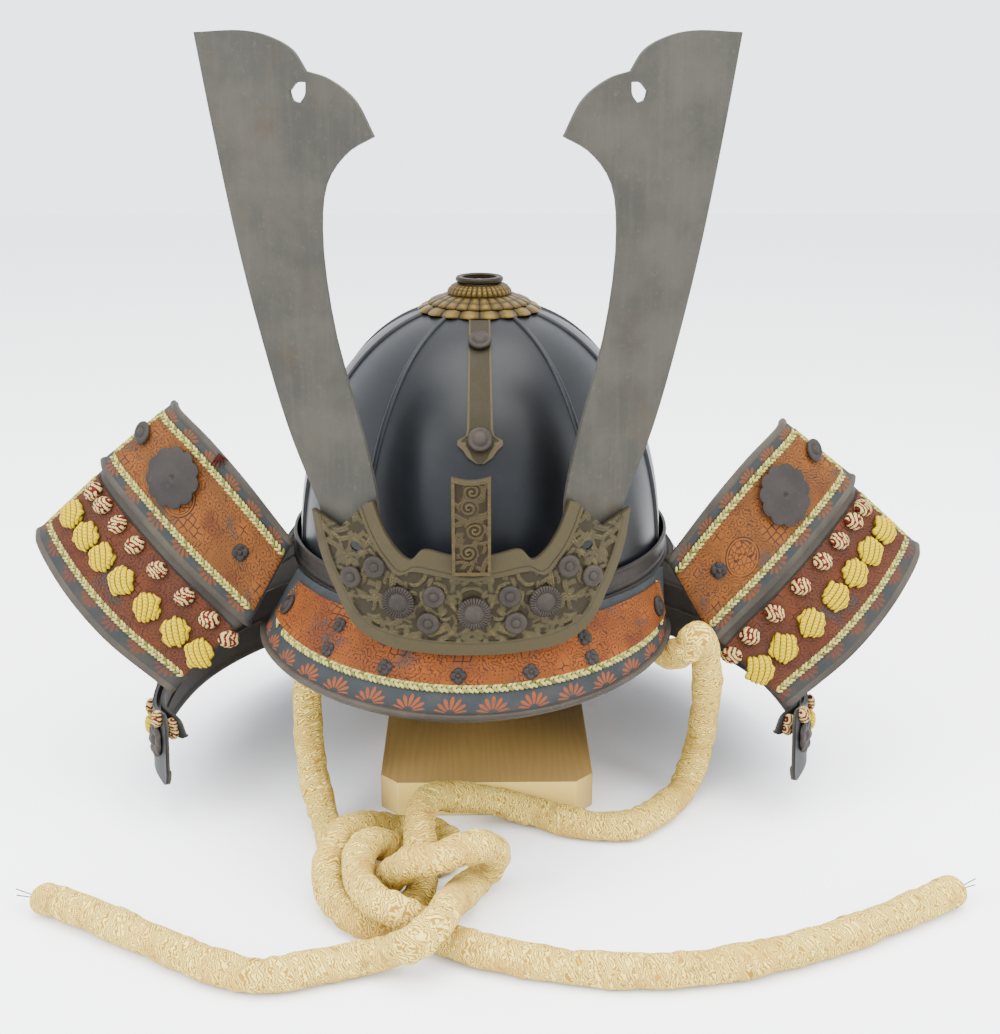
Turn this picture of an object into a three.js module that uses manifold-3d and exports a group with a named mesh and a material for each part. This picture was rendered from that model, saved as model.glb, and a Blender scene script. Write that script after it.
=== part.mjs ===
// A samurai helmet (kabuto) with crescent crest and horns, standing on a plain wooden stand.
// Millimetres, +Z up, the front of the helmet towards -Y. Helmet sizes are worked out about its own axis.
import * as THREE from "three";
import { mergeVertices } from "three/addons/utils/BufferGeometryUtils.js";
import Module from "manifold-3d";

const wasm = await Module();
wasm.setup();

// Driving dimensions
const axisShift = -20.6;              // Y of the helmet's axis, so that the whole stands centred on the origin
const bowl = { halfWidth: 105, halfDepth: 115, base: 147, height: 142, wall: 2.5, hole: 9.5, ribs: 10, rib: 1.3 };
const fullness = 2.2;               // exponent of the bowl's profile, 2 is an ellipse
const gap = 0.4;                    // clearance between pieces that touch
const plate = 2.2;                  // thickness of lames and visor
const hide = 1.1;                   // thickness of the printed leather
const crestShift = -4.5;            // the crest sits a little to the left of the middle
const crescent = { radius: 144, centreY: 10, field: 2.2, edge: 3.2 };
const hornPlane = { x: 66, y: -118, toe: 25, wall: 2.2, behind: 2.4 };
const wingLift = 6;                 // the left wing stands higher and the right one lower by this much
const standBase = { width: 124, depth: 170, chamfer: 10.5, height: 21.5, shiftX: 3, shiftY: 19 };
const post = { radius: 15, top: 226, shiftY: 46 };
const cordDiameter = 15.4;

const { lerp, degToRad } = THREE.MathUtils;
const vec = (x, y, z) => new THREE.Vector3(x, y, z);
const up = vec(0, 0, 1);

const finish = {
  lacquer: new THREE.MeshStandardMaterial({ color: 0x15171c, roughness: 0.32, metalness: 0.1 }),
  horn: new THREE.MeshStandardMaterial({ color: 0x66625a, roughness: 0.45, metalness: 0.8 }),
  bronze: new THREE.MeshStandardMaterial({ color: 0x5a5142, roughness: 0.5, metalness: 0.7 }),
  gilt: new THREE.MeshStandardMaterial({ color: 0x9a7a35, roughness: 0.45, metalness: 0.8 }),
  iron: new THREE.MeshStandardMaterial({ color: 0x3f3833, roughness: 0.6, metalness: 0.5 }),
  lame: new THREE.MeshStandardMaterial({ color: 0x5b554c, roughness: 0.55, metalness: 0.2 }),
  border: new THREE.MeshStandardMaterial({ color: 0x4c545c, roughness: 0.7, metalness: 0 }),
  leather: new THREE.MeshStandardMaterial({ color: 0xa0582c, roughness: 0.65, metalness: 0 }),
  braid: new THREE.MeshStandardMaterial({ color: 0xcfc98a, roughness: 0.8, metalness: 0 }),
  yellow: new THREE.MeshStandardMaterial({ color: 0xd9b32c, roughness: 0.85, metalness: 0 }),
  knot: new THREE.MeshStandardMaterial({ color: 0xc9a08a, roughness: 0.85, metalness: 0 }),
  cord: new THREE.MeshStandardMaterial({ color: 0xd8bd88, roughness: 0.9, metalness: 0 }),
  wood: new THREE.MeshStandardMaterial({ color: 0xc39a63, roughness: 0.6, metalness: 0 }),
};

const helmet = new THREE.Group();
helmet.position.set(0, axisShift, 0);

function add(name, geometry, material) {
  const mesh = new THREE.Mesh(geometry, material);
  mesh.name = name;
  helmet.add(mesh);
  return mesh;
}

// Lays a mesh that is modelled on the XY plane at a point, with its own +Z along the normal.
function seat(mesh, { point, normal }) {
  mesh.position.copy(point);
  mesh.quaternion.setFromUnitVectors(up, normal);
  return mesh;
}

// ---- shapes shared by several pieces

function normalAt(surface, u, v) {
  const step = 1e-3;
  const [u0, u1] = [Math.max(u - step, 0), Math.min(u + step, 1)];
  const [v0, v1] = [Math.max(v - step, 0), Math.min(v + step, 1)];
  const along = surface(u1, v).sub(surface(u0, v));
  const across = surface(u, v1).sub(surface(u, v0));
  return along.cross(across).normalize();
}

// A closed wall around the face surface(u, v), from the offset low to the offset high along its normal.
function wall(surface, [uFrom, uTo, uSteps], [vFrom, vTo, vSteps], low, high) {
  const geometry = new THREE.BoxGeometry(1, 1, 1, uSteps, vSteps, 1);
  const position = geometry.attributes.position;
  for (let i = 0; i < position.count; i++) {
    const u = lerp(uFrom, uTo, position.getX(i) + 0.5);
    const v = lerp(vFrom, vTo, position.getY(i) + 0.5);
    const top = typeof high === "function" ? high(u, v) : high;
    const offset = lerp(low, top, position.getZ(i) + 0.5);
    const point = surface(u, v).addScaledVector(normalAt(surface, u, v), offset);
    position.setXYZ(i, point.x, point.y, point.z);
  }
  return geometry;
}

function spot(surface, u, v, offset) {
  const normal = normalAt(surface, u, v);
  if (offset < 0) normal.negate();
  return { point: surface(u, v).addScaledVector(normal, Math.abs(offset)), normal };
}

// A solid of revolution about Z; profile rows are [radius, height]; warp scales a radius by the angle.
function turned(profile, segments, warp) {
  const points = profile.map(([radius, height]) => new THREE.Vector2(radius, height));
  const geometry = new THREE.LatheGeometry(points, segments).rotateX(Math.PI / 2);
  if (!warp) return geometry;
  const position = geometry.attributes.position;
  for (let i = 0; i < position.count; i++) {
    const [x, y, z] = [position.getX(i), position.getY(i), position.getZ(i)];
    const scale = warp(Math.atan2(y, x), Math.hypot(x, y), z);
    position.setXYZ(i, x * scale, y * scale, z);
  }
  return geometry;
}

function boss(radius, height, segments) {
  const profile = [[0, 0], [radius, 0], [radius, height * 0.35], [radius * 0.72, height], [0, height * 0.86]];
  return turned(profile, segments);
}

function petalled(radius, height, petals, depth) {
  const profile = [[0, 0], [radius, 0], [radius, height * 0.5], [radius * 0.5, height], [0, height]];
  const scallop = (angle, r) => (r > radius * 0.6 ? 1 - depth * (0.5 - 0.5 * Math.cos(petals * angle)) : 1);
  return turned(profile, petals * 2, scallop);
}

function ovalBoss(length, width, height) {
  return boss(length / 2, height, 12).scale(1, width / length, 1);
}

function toSolid(geometry) {
  const bare = geometry.clone();
  bare.deleteAttribute("normal");
  bare.deleteAttribute("uv");
  const merged = mergeVertices(bare, 1e-4);
  const kept = [];
  const index = merged.index.array;
  for (let i = 0; i < index.length; i += 3) {
    const [a, b, c] = [index[i], index[i + 1], index[i + 2]];
    if (a !== b && b !== c && c !== a) kept.push(a, b, c);
  }
  const vertProperties = new Float32Array(merged.attributes.position.array);
  return new wasm.Manifold(new wasm.Mesh({ numProp: 3, vertProperties, triVerts: new Uint32Array(kept) }));
}

function toGeometry(solid) {
  const mesh = solid.getMesh();
  const geometry = new THREE.BufferGeometry();
  geometry.setAttribute("position", new THREE.BufferAttribute(mesh.vertProperties, 3));
  geometry.setIndex(new THREE.BufferAttribute(mesh.triVerts, 1));
  return geometry;
}

function joined(geometries) {
  return toGeometry(geometries.map(toSolid).reduce((sum, next) => sum.add(next)));
}

function cut(geometry, tools) {
  return toGeometry(tools.map(toSolid).reduce((rest, tool) => rest.subtract(tool), toSolid(geometry)));
}

function placed(geometry, { point, normal }) {
  const turn = new THREE.Quaternion().setFromUnitVectors(up, normal);
  return geometry.applyQuaternion(turn).translate(point.x, point.y, point.z);
}

// ---- bowl, base band and crown ornament

const depthScale = bowl.halfDepth / bowl.halfWidth;

function bowlHeight(radius, inset = 0) {
  const reach = 1 - ((radius) / (bowl.halfWidth - inset)) ** fullness;
  return bowl.base + (bowl.height - inset) * Math.max(reach, 0) ** (1 / fullness);
}

function bowlRadius(height) {
  const reach = 1 - ((height - bowl.base) / bowl.height) ** fullness;
  return bowl.halfWidth * Math.max(reach, 0) ** (1 / fullness);
}

function bowlProfile(inset, steps, hole) {
  const reach = bowl.halfWidth - inset;
  const last = Math.acos((hole / reach) ** (fullness / 2));
  return Array.from({ length: steps + 1 }, (_, i) => {
    const radius = reach * Math.cos((last * i) / steps) ** (2 / fullness);
    return [radius, bowlHeight(radius, inset)];
  });
}

function bowlShell() {
  const outer = bowlProfile(0, 8, bowl.hole);
  const inner = bowlProfile(bowl.wall, 5, bowl.hole).reverse();
  const profile = [...outer, ...inner, outer[0]].map(([r, z]) => new THREE.Vector2(r, z));
  const share = [0, 0.034, 0.068, 0.53];    // a rib's foot, crest and foot, then the panel
  const geometry = new THREE.LatheGeometry(profile, bowl.ribs * share.length).rotateX(Math.PI / 2);
  const position = geometry.attributes.position;
  for (let i = 0; i < position.count; i++) {
    const column = Math.floor(i / profile.length) % (bowl.ribs * share.length);
    const row = (i % profile.length) % (profile.length - 1);
    const rib = Math.floor(column / share.length);
    const part = column % share.length;
    const angle = ((rib + share[part] - 0.034) / bowl.ribs) * 2 * Math.PI - Math.PI / 2;
    const raised = part === 1 && row < outer.length - 1 && rib > 0;
    const radius = Math.hypot(position.getX(i), position.getY(i)) + (raised ? bowl.rib : 0);
    position.setXYZ(i, radius * Math.cos(angle), radius * Math.sin(angle) * depthScale, position.getZ(i));
  }
  return geometry;
}

// The band round the foot of the bowl, with a flange that turns out below it and under the bowl's edge.
function baseBand() {
  const inside = bowl.halfWidth + bowl.rib + 2.5 * gap;
  const under = bowl.base - gap;
  const profile = [
    [99, 144.4], [109, 144.4], [109.6, 147], [inside + 1.3, 147.8], [inside + 1.3, 160], [inside, 160],
    [inside, under], [99, under], [99, 144.4],
  ];
  return turned(profile, 30).scale(1, depthScale, 1);
}

// A crown ring from the lines of its top, outer edge first, and of its underside, hole first.
function crownRing({ top, under, lobes, depth }) {
  const edge = top[0][0];
  const scallop = (angle, r) => (r > edge * 0.93 ? 1 - depth * Math.abs(Math.sin((lobes * angle) / 2)) : 1);
  return turned([...under, ...top, under[0]], lobes * 2, scallop);
}

add("bowl", bowlShell(), finish.lacquer);
add("base_band", baseBand(), finish.iron);
const crownTiers = [
  {
    name: "crown_flange", lobes: 18, depth: 0.05,
    under: [[12, 289.4], [24, 287.6], [34.8, 285.1]],
    top: [[34.8, 286], [29.5, 288.4], [24, 289.2], [12, 290.9]],
  },
  {
    name: "crown_petals_lower", lobes: 13, depth: 0.03,
    under: [[12, 291.3], [24, 289.6], [29, 288.9]],
    top: [[29.3, 289.7], [22, 292.6], [18.6, 293.7], [12, 294.3]],
  },
  {
    name: "crown_petals_upper", lobes: 12, depth: 0.02,
    under: [[10.5, 294.8], [18, 294.2]],
    top: [[18.4, 295], [16.4, 297.8], [15, 298.9], [10.5, 299.7]],
  },
];
for (const tier of crownTiers) add(tier.name, crownRing(tier), finish.gilt);
const rimFoot = bowlHeight(10) + 11.6;
const crownRim = [[9.5, rimFoot], [12.5, rimFoot], [13.5, rimFoot + 1.6], [12.5, rimFoot + 3], [9.5, rimFoot + 3]];
add("crown_rim", turned([...crownRim, crownRim[0]], 18), finish.gilt);

// ---- front strap with its two bosses

const strap = { top: 283.8, low: 222.8 };
const strapWidths = [
  { at: 0, half: 5.6 }, { at: 0.74, half: 6.6 }, { at: 0.79, half: 7.2 }, { at: 0.825, half: 11.4 },
  { at: 0.86, half: 11.6 }, { at: 0.9, half: 8.6 }, { at: 0.95, half: 6.4 }, { at: 1, half: 1.6 },
];

function tabled(table, key, at) {
  const next = table.findIndex((row) => row.at >= at);
  if (next <= 0) return table[Math.max(next, 0)][key];
  const [a, b] = [table[next - 1], table[next]];
  return lerp(a[key], b[key], (at - a.at) / (b.at - a.at));
}

function strapFace(u, v) {
  const height = lerp(strap.top, strap.low, v);
  const radius = bowlRadius(height);
  const x = (1 - u * 2) * tabled(strapWidths, "half", v);
  return vec(x, -depthScale * Math.sqrt(radius ** 2 - x ** 2), height);
}

add("front_strap", wall(strapFace, [0, 1, 2], [0, 1, 16], gap, 1.8), finish.bronze);
const strapBosses = [{ name: "strap_boss_upper", v: 0.136 }, { name: "strap_boss_lower", v: 0.821 }];
for (const { name, v } of strapBosses) {
  seat(add(name, boss(6.4, 3.2, 12), finish.bronze), spot(strapFace, 0.5, v, 2.4));
}

// ---- visor: a sloping crescent plate, its leather, braid, rim, rivets and end bosses

function visorFace(u, v) {
  const side = 1 - u * 2;
  const inner = degToRad(66 * side);
  const outer = degToRad(92 * side);
  const from = vec(111 * Math.sin(inner), -121.5 * Math.cos(inner), 147.5);
  const to = vec(114 * Math.sin(outer) - 9, -43 - 105 * Math.cos(outer), 101 + 9 * Math.sin(outer) ** 2);
  return from.lerp(to, v);
}

const visorSpan = [0, 1, 22];
add("visor_plate", wall(visorFace, visorSpan, [0, 1, 3], -plate / 2, plate / 2), finish.border);
const onVisor = plate / 2 + 0.8;
const visorTrims = [
  { name: "visor_leather", end: 0.045, v: [0.1, 0.655, 2], height: hide, material: finish.leather },
  { name: "visor_braid", end: 0.035, v: [0.665, 0.71, 1], height: 1.5, material: finish.braid },
  { name: "visor_rim", end: 0.004, v: [0.93, 1, 1], height: 1.4, material: finish.lame },
];
for (const { name, end, v, height, material } of visorTrims) {
  add(name, wall(visorFace, [end, 1 - end, 22], v, onVisor, onVisor + height), material);
}

const aboveLeather = onVisor + hide + gap;
const visorRivets = [
  { u: 0.765, v: 0.3 }, { u: 0.755, v: 0.57 }, { u: 0.64, v: 0.57 }, { u: 0.52, v: 0.57 },
  { u: 0.405, v: 0.57 }, { u: 0.295, v: 0.57 }, { u: 0.3, v: 0.34 },
];
visorRivets.forEach(({ u, v }, i) => {
  const rivet = petalled(4, 1.8, 4, 0.3);
  seat(add(`visor_rivet_${i + 1}`, rivet, finish.iron), spot(visorFace, u, v, aboveLeather + 0.3));
});
for (const { name, u } of [{ name: "visor_boss_left", u: 0.925 }, { name: "visor_boss_right", u: 0.085 }]) {
  seat(add(name, ovalBoss(13, 10.5, 3.4), finish.bronze), spot(visorFace, u, 0.45, aboveLeather + 1));
}

// ---- crest: crescent plate, socket plate, flower bosses and two horns

const crest = new THREE.Group();
crest.position.x = crestShift;
helmet.add(crest);

function addToCrest(name, geometry, material) {
  const mesh = add(name, geometry, material);
  crest.add(mesh);
  return mesh;
}

// Half of the crescent from its tips to the middle: outer and lower edge, inner and upper edge.
const crescentRows = [
  { lowX: 79, lowZ: 203.5, highX: 48, highZ: 212 },
  { lowX: 75.5, lowZ: 182, highX: 42.5, highZ: 197 },
  { lowX: 68, lowZ: 162, highX: 35.5, highZ: 186.5 },
  { lowX: 59, lowZ: 145, highX: 30, highZ: 183 },
  { lowX: 45, lowZ: 136.5, highX: 24, highZ: 188.5 },
  { lowX: 22, lowZ: 133.5, highX: 12, highZ: 186.5 },
  { lowX: 0, lowZ: 133, highX: 0, highZ: 184 },
];

function mirrored(rows, toPoint) {
  const left = rows.map((row) => toPoint(row, -1));
  const right = rows.slice(0, -1).reverse().map((row) => toPoint(row, 1));
  return new THREE.CatmullRomCurve3([...left, ...right]);
}

const crescentLow = mirrored(crescentRows, (row, side) => vec(side * row.lowX, 0, row.lowZ));
const crescentHigh = mirrored(crescentRows, (row, side) => vec(side * row.highX, 0, row.highZ));

function onCrescent(x, z) {
  return vec(x, crescent.centreY - Math.sqrt(crescent.radius ** 2 - x ** 2), z);
}

function crescentFace(u, v) {
  const point = crescentLow.getPoint(u).lerp(crescentHigh.getPoint(u), v);
  const fromTip = Math.min(u, 1 - u) * 14;
  const notch = Math.max(0, 1 - Math.abs(v - 0.45) / 0.45) * Math.max(0, 1 - fromTip);
  return onCrescent(point.x, point.z - 11 * notch);
}

// Raised lower rim and upper edge band, with the leaf field between them lower.
const crescentRelief = (u, v) => (v < 0.15 || v > 0.85 ? crescent.edge : crescent.field);

function pierced(x, z) {
  const tool = new THREE.CylinderGeometry(2.8, 2.8, 16, 6);
  const at = onCrescent(x, z);
  return tool.rotateZ(Math.asin(x / crescent.radius)).translate(at.x, at.y, at.z);
}

function leaf({ u, v, length, width, turn }) {
  const [cos, sin] = [Math.cos(turn), Math.sin(turn)];
  const face = (a, b) => {
    const along = (a - 0.5) * length;
    const across = (b - 0.5) * width * (1 - 0.8 * Math.abs(2 * a - 1));
    return crescentFace(u + (along * cos - across * sin) / 230, v + (along * sin + across * cos) / 45);
  };
  return wall(face, [0, 1, 2], [0, 1, 1], crescent.field - 0.6, crescent.field + 0.9);
}

const leaves = [];
for (const side of [-1, 1]) {
  for (let i = 0; i < 4; i++) {
    const u = 0.5 + side * (0.06 + 0.1 * i);
    leaves.push(leaf({ u, v: i % 2 ? 0.62 : 0.36, length: 13, width: 5, turn: side * (i % 2 ? 0.7 : -0.6) }));
  }
}
const crescentPlate = wall(crescentFace, [0, 1, 22], [0, 1, 5], 0, crescentRelief);
const crescentBody = cut(crescentPlate, [pierced(-58, 187.5), pierced(58, 187.5)]);
addToCrest("crescent", joined([crescentBody, ...leaves]), finish.bronze);

function onFace(x, z, offset) {
  const point = onCrescent(x, z);
  const normal = vec(x, point.y - crescent.centreY, 0).normalize();
  return { point: point.addScaledVector(normal, offset), normal };
}

const aboveField = crescent.field + 0.9 + gap;
const flowers = [
  { name: "flower_left", x: -36, z: 160.5 }, { name: "flower_middle", x: 1, z: 156 },
  { name: "flower_right", x: 36, z: 160.5 },
];
for (const { name, x, z } of flowers) {
  seat(addToCrest(name, petalled(8.6, 3.6, 10, 0.1), finish.iron), onFace(x, z, aboveField + 0.3));
}
const buds = [{ x: 59.5, z: 171 }, { x: 47.5, z: 178 }, { x: 18.5, z: 164.5 }, { x: 21.5, z: 150 }];
buds.forEach(({ x, z }, i) => {
  for (const [word, side] of [["left", -1], ["right", 1]]) {
    seat(addToCrest(`bud_${word}_${i + 1}`, boss(5.9, 2.6, 8), finish.iron), onFace(side * x, z, aboveField));
  }
});

const socket = { half: 9.6, low: 178, high: 228, depth: 4.5 };
function socketPlate() {
  const outline = new THREE.Shape();
  outline.moveTo(-socket.half, socket.low);
  outline.lineTo(socket.half, socket.low);
  outline.lineTo(socket.half, socket.high);
  outline.quadraticCurveTo(0, socket.high - 4, -socket.half, socket.high);
  outline.closePath();
  const body = new THREE.ExtrudeGeometry(outline, { depth: socket.depth, bevelEnabled: false, curveSegments: 4 });
  const relief = [0, 1, 2, 3].map((i) => {
    const scroll = new THREE.TorusGeometry(4.2, 1.2, 4, 8).scale(1, 1, 0.9);
    return scroll.translate(i % 2 ? 2.4 : -2.4, lerp(socket.low + 8, socket.high - 11, i / 3), socket.depth);
  });
  return joined([body, ...relief]).rotateX(Math.PI / 2);
}
addToCrest("socket_plate", socketPlate(), finish.gilt).position.y = -134 - crescent.edge - gap;

// One horn in its own plane: distance outwards from the middle, height.
function hornOutline() {
  const points = (rows) => rows.map(([a, z]) => new THREE.Vector2(a, z));
  const outline = new THREE.Shape();
  outline.moveTo(46, 192);
  outline.lineTo(76, 192);
  outline.lineTo(79.4, 204);
  outline.splineThru(points([[95.5, 242.5], [110, 292], [120.5, 336], [130.5, 388], [138, 431.7]]));
  outline.splineThru(points([[111.3, 432.4], [97.5, 430], [84.5, 424], [77.3, 414.5]]));
  outline.splineThru(points([[66, 411.4], [52.5, 402.5], [42.5, 386]]));
  outline.splineThru(points([[57, 378.4], [68.5, 364.5], [72.2, 340], [67.2, 295], [52.5, 242], [46, 212]]));
  outline.closePath();
  const heart = new THREE.Path();
  heart.moveTo(77.5, 409.5);
  heart.quadraticCurveTo(84, 409.5, 86.5, 405.5);
  heart.quadraticCurveTo(86.5, 401, 81, 400.3);
  heart.quadraticCurveTo(76.5, 402.5, 77.5, 409.5);
  outline.holes.push(heart);
  return outline;
}

function horn(side) {
  const settings = { depth: hornPlane.wall, bevelEnabled: false, curveSegments: 3 };
  const geometry = new THREE.ExtrudeGeometry(hornOutline(), settings).translate(-hornPlane.x, 0, 0);
  geometry.rotateX(Math.PI / 2).translate(0, hornPlane.behind + hornPlane.wall, 0);
  geometry.rotateZ(degToRad(hornPlane.toe)).translate(hornPlane.x, hornPlane.y, 0);
  if (side > 0) return geometry;
  const solid = toSolid(geometry).mirror([1, 0, 0]);
  return toGeometry(solid);
}
addToCrest("horn_left", horn(-1), finish.horn);
addToCrest("horn_right", horn(1), finish.horn);

// ---- neck guard: four lames; the upper two turn back at the front as wings

// Edges of the upper two lames. halfWidth, front and back are the plan's half axes, height is the level;
// fold is where the lame turns back, and tip is the free corner of its wing (x is for the right side).
// arch bows the middle of the wing's edge up and inwards.
const lameEdges = [
  { halfWidth: 112, front: 148, back: 122, height: 149, fold: [106, -44, 157], tip: [176.5, 0, 226], arch: 6 },
  { halfWidth: 137, front: 215, back: 150, height: 110, fold: [132.5, -55, 110], tip: [224, 5, 188.5], arch: 0 },
  { halfWidth: 183, front: 236, back: 180, height: 72.5, fold: [177, -60, 72.5], tip: [267.5, 10, 143.5], arch: -5.5 },
];
const wingShares = [1, 0.93, 0.66, 0.36, 0.1];      // from the free end to the fold
const neckAngles = [0, 22, 45, 68];                 // from the side round towards the back
const wingBulge = 9;
const wingCurl = 5;

function lameEdge({ halfWidth, front, back, height, fold, tip, arch }) {
  const half = (side) => {
    const lift = -side * wingLift;
    const from = vec(side * fold[0], fold[1], fold[2] + lift);
    const to = vec(side * tip[0], tip[1], tip[2] + lift);
    const towardsFront = vec(side * 0.334, -0.909, 0.269);
    const acrossWing = vec(-side * 0.66, 0, 0.75);
    const wing = wingShares.map((share) => {
      const bulge = wingBulge * Math.sin(Math.PI * share) - (share === 1 ? wingCurl : 0);
      const point = from.clone().lerp(to, share).addScaledVector(towardsFront, bulge);
      return point.addScaledVector(acrossWing, arch * Math.sin(Math.PI * share));
    });
    const nearY = fold[1] + 9;
    const near = vec(side * halfWidth * Math.sqrt(1 - (nearY / front) ** 2), nearY, lerp(fold[2], height, 0.3) + lift * 0.8);
    const round = neckAngles.map((degrees) => {
      const angle = degToRad(degrees);
      const settle = Math.cos(angle) ** 2 * 0.5;
      return vec(side * halfWidth * Math.cos(angle), back * Math.sin(angle), height + lift * settle);
    });
    return [...wing, from, near, ...round];
  };
  return [...half(1), vec(0, back, height), ...half(-1).reverse()];
}

// The row that lies outside an upper lame's lower edge, raised along that lame by rise.
function outsideRow(upper, lower, rise, clearance) {
  return lower.map((point, i) => {
    const along = lower[Math.min(i + 1, lower.length - 1)].clone().sub(lower[Math.max(i - 1, 0)]).normalize();
    const down = point.clone().sub(upper[i]).normalize();
    const outwards = along.clone().cross(down).negate().normalize();
    return point.clone().addScaledVector(down, -rise).addScaledVector(outwards, clearance);
  });
}

function lameFace(rows) {
  const curves = rows.map((row) => new THREE.CatmullRomCurve3(row));
  return (u, v) => {
    const place = Math.min(Math.max(v, 0), 1) * (curves.length - 1);
    const first = Math.min(Math.floor(place), curves.length - 2);
    const clamped = Math.min(Math.max(u, 0), 1);
    return curves[first].getPoint(clamped).lerp(curves[first + 1].getPoint(clamped), place - first);
  };
}

const [edge0, edge1, edge2] = lameEdges.map(lameEdge);
const lame1 = lameFace([edge0, edge1]);
const lame2 = lameFace([outsideRow(edge0, edge1, 8, 6.2), outsideRow(edge0, edge1, 0, 5), edge2]);
const lastPoint = edge0.length - 1;
add("lame_1", wall(lame1, [0, 1, lastPoint * 2], [0, 1, 1], -plate / 2, plate / 2), finish.lame);
add("lame_2", wall(lame2, [0, 1, lastPoint * 2], [0, 1, 2], -plate / 2, plate / 2), finish.lame);

// Edges of the lower two lames, which hang almost upright and end at the temples.
const lowerLames = [
  {
    name: "lame_3",
    top: { halfWidth: 186.5, back: 183.5, height: 80, near: [184, -48, 64], end: [171, -66, 62.5] },
    low: { halfWidth: 188.5, back: 185.5, height: 50, near: [184, -50, 50], end: [167, -70, 52] },
  },
  {
    name: "lame_4",
    top: { halfWidth: 191.8, back: 189, height: 57, near: [189, -48, 64], end: [178, -68, 66] },
    low: { halfWidth: 194, back: 191, height: 26, near: [190, -52, 27], end: [177, -80, 26] },
  },
];

function lowerEdge({ halfWidth, back, height, near, end }) {
  const half = (side) => {
    const round = neckAngles.map((degrees) => {
      const angle = degToRad(degrees);
      return vec(side * halfWidth * Math.cos(angle), back * Math.sin(angle), lerp(near[2], height, degrees / 90));
    });
    return [vec(side * end[0], end[1], end[2]), vec(side * near[0], near[1], near[2]), ...round];
  };
  return [...half(1), vec(0, back, height), ...half(-1).reverse()];
}

const lowerCorner = 0.02;             // share of a lower lame's length over which its end is rounded
const lowerFaces = lowerLames.map(({ name, top, low }) => {
  const straight = lameFace([lowerEdge(top), lowerEdge(low)]);
  const face = (u, v) => {
    const reach = Math.min(Math.min(u, 1 - u) / lowerCorner, 1);
    return straight(u, 0.5 + (v - 0.5) * (0.62 + 0.38 * Math.sqrt(1 - (1 - reach) ** 2)));
  };
  const even = (t) => (t < 0.5 ? 2 * t * t : 1 - 2 * (1 - t) ** 2);   // closer sections at the rounded ends
  const spaced = (u, v) => face(lerp(u, even(u), 0.75), v);
  add(name, wall(spaced, [0, 1, 26], [0, 1, 1], -plate / 2, plate / 2), finish.lame);
  return face;
});

// ---- printed leather, bosses and lacing of the wings

// Place along a lame, 0 to 1, of a share of the wing's length counted from its fold.
function wingPlace(share, side) {
  const shares = [...wingShares, 0];
  const next = shares.findIndex((value) => value <= share);
  const [a, b] = [shares[next - 1] ?? 1, shares[next]];
  const index = next === 0 ? 0 : next - (share - b) / (a - b);
  return side > 0 ? index / lastPoint : 1 - index / lastPoint;
}

function wingSpan(from, to, side, steps) {
  const ends = [wingPlace(from, side), wingPlace(to, side)].sort((a, b) => a - b);
  return [...ends, steps];
}

function row(face, side, v, shares, tuft, lift) {
  const [from, to] = [shares[0], shares[shares.length - 1]];
  const tufts = shares.map((share) => placed(tuft(), spot(face, wingPlace(share, side), v, lift + 2.4)));
  const thread = wall(face, wingSpan(from, to, side, 9), [v - 0.012, v + 0.012, 1], lift, lift + 1.4);
  return joined([thread, ...tufts]);
}

const tuftShares = [0.885, 0.76, 0.638, 0.497, 0.334, 0.182, 0.035];
const knotShares = [0.892, 0.807, 0.7, 0.575, 0.425, 0.267, 0.12, 0.005];
const tuftShape = () => new THREE.CylinderGeometry(7.6, 11, 5.6, 4).rotateX(Math.PI / 2).rotateZ(Math.PI / 4);
const knotShape = () => new THREE.SphereGeometry(1, 5, 2).rotateX(Math.PI / 2).scale(5.6, 5.2, 3.2);
const onPlate = plate / 2 + 0.9;
for (const [word, side] of [["left", -1], ["right", 1]]) {
  const span = wingSpan(0.96, 0.01, side, 10);
  add(`wing_leather_upper_${word}`, wall(lame1, span, [0.165, 0.825, 1], onPlate, onPlate + hide), finish.leather);
  add(`wing_leather_lower_${word}`, wall(lame2, span, [0.56, 0.895, 1], onPlate, onPlate + hide), finish.leather);
  const disc = petalled(18, 2.4, 11, 0.08);
  seat(add(`wing_disc_${word}`, disc, finish.iron), spot(lame1, wingPlace(0.65, side), 0.478, aboveLeather + 1.8));
  const button = ovalBoss(15, 11, 3);
  seat(add(`wing_button_${word}`, button, finish.bronze), spot(lame1, wingPlace(0.935, side), 0.428, aboveLeather + 0.8));
  add(`lacing_yellow_${word}`, row(lame2, side, 0.755, tuftShares, tuftShape, aboveLeather + 0.9), finish.yellow);
  add(`lacing_knots_${word}`, row(lame2, side, 0.602, knotShares, knotShape, aboveLeather + 0.7), finish.knot);
  const sideSpot = spot(lowerFaces[1], side > 0 ? 0.05 : 0.95, 0.45, -(plate / 2 + gap));
  seat(add(`side_boss_${word}`, petalled(10, 3, 8, 0.15), finish.iron), sideSpot);
}

// ---- stand: chamfered base, plain post and a head pad that carries the bowl

function standShape() {
  const { width, depth, chamfer } = standBase;
  const corners = [[1, -1], [1, 1], [-1, 1], [-1, -1]].flatMap(([x, y]) => {
    const side = new THREE.Vector2((x * width) / 2, y * (depth / 2 - chamfer));
    const end = new THREE.Vector2(x * (width / 2 - chamfer), (y * depth) / 2);
    return x * y < 0 ? [end, side] : [side, end];
  });
  const outline = new THREE.Shape(corners);
  return new THREE.ExtrudeGeometry(outline, { depth: standBase.height, bevelEnabled: false });
}
add("stand_base", standShape(), finish.wood).position.set(standBase.shiftX, standBase.shiftY, 0);
const postHeight = post.top - standBase.height - gap;
const postMesh = add("stand_post", new THREE.CylinderGeometry(post.radius, post.radius, postHeight, 16), finish.wood);
postMesh.rotation.x = Math.PI / 2;
postMesh.position.set(0, post.shiftY, standBase.height + gap + postHeight / 2);

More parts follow.
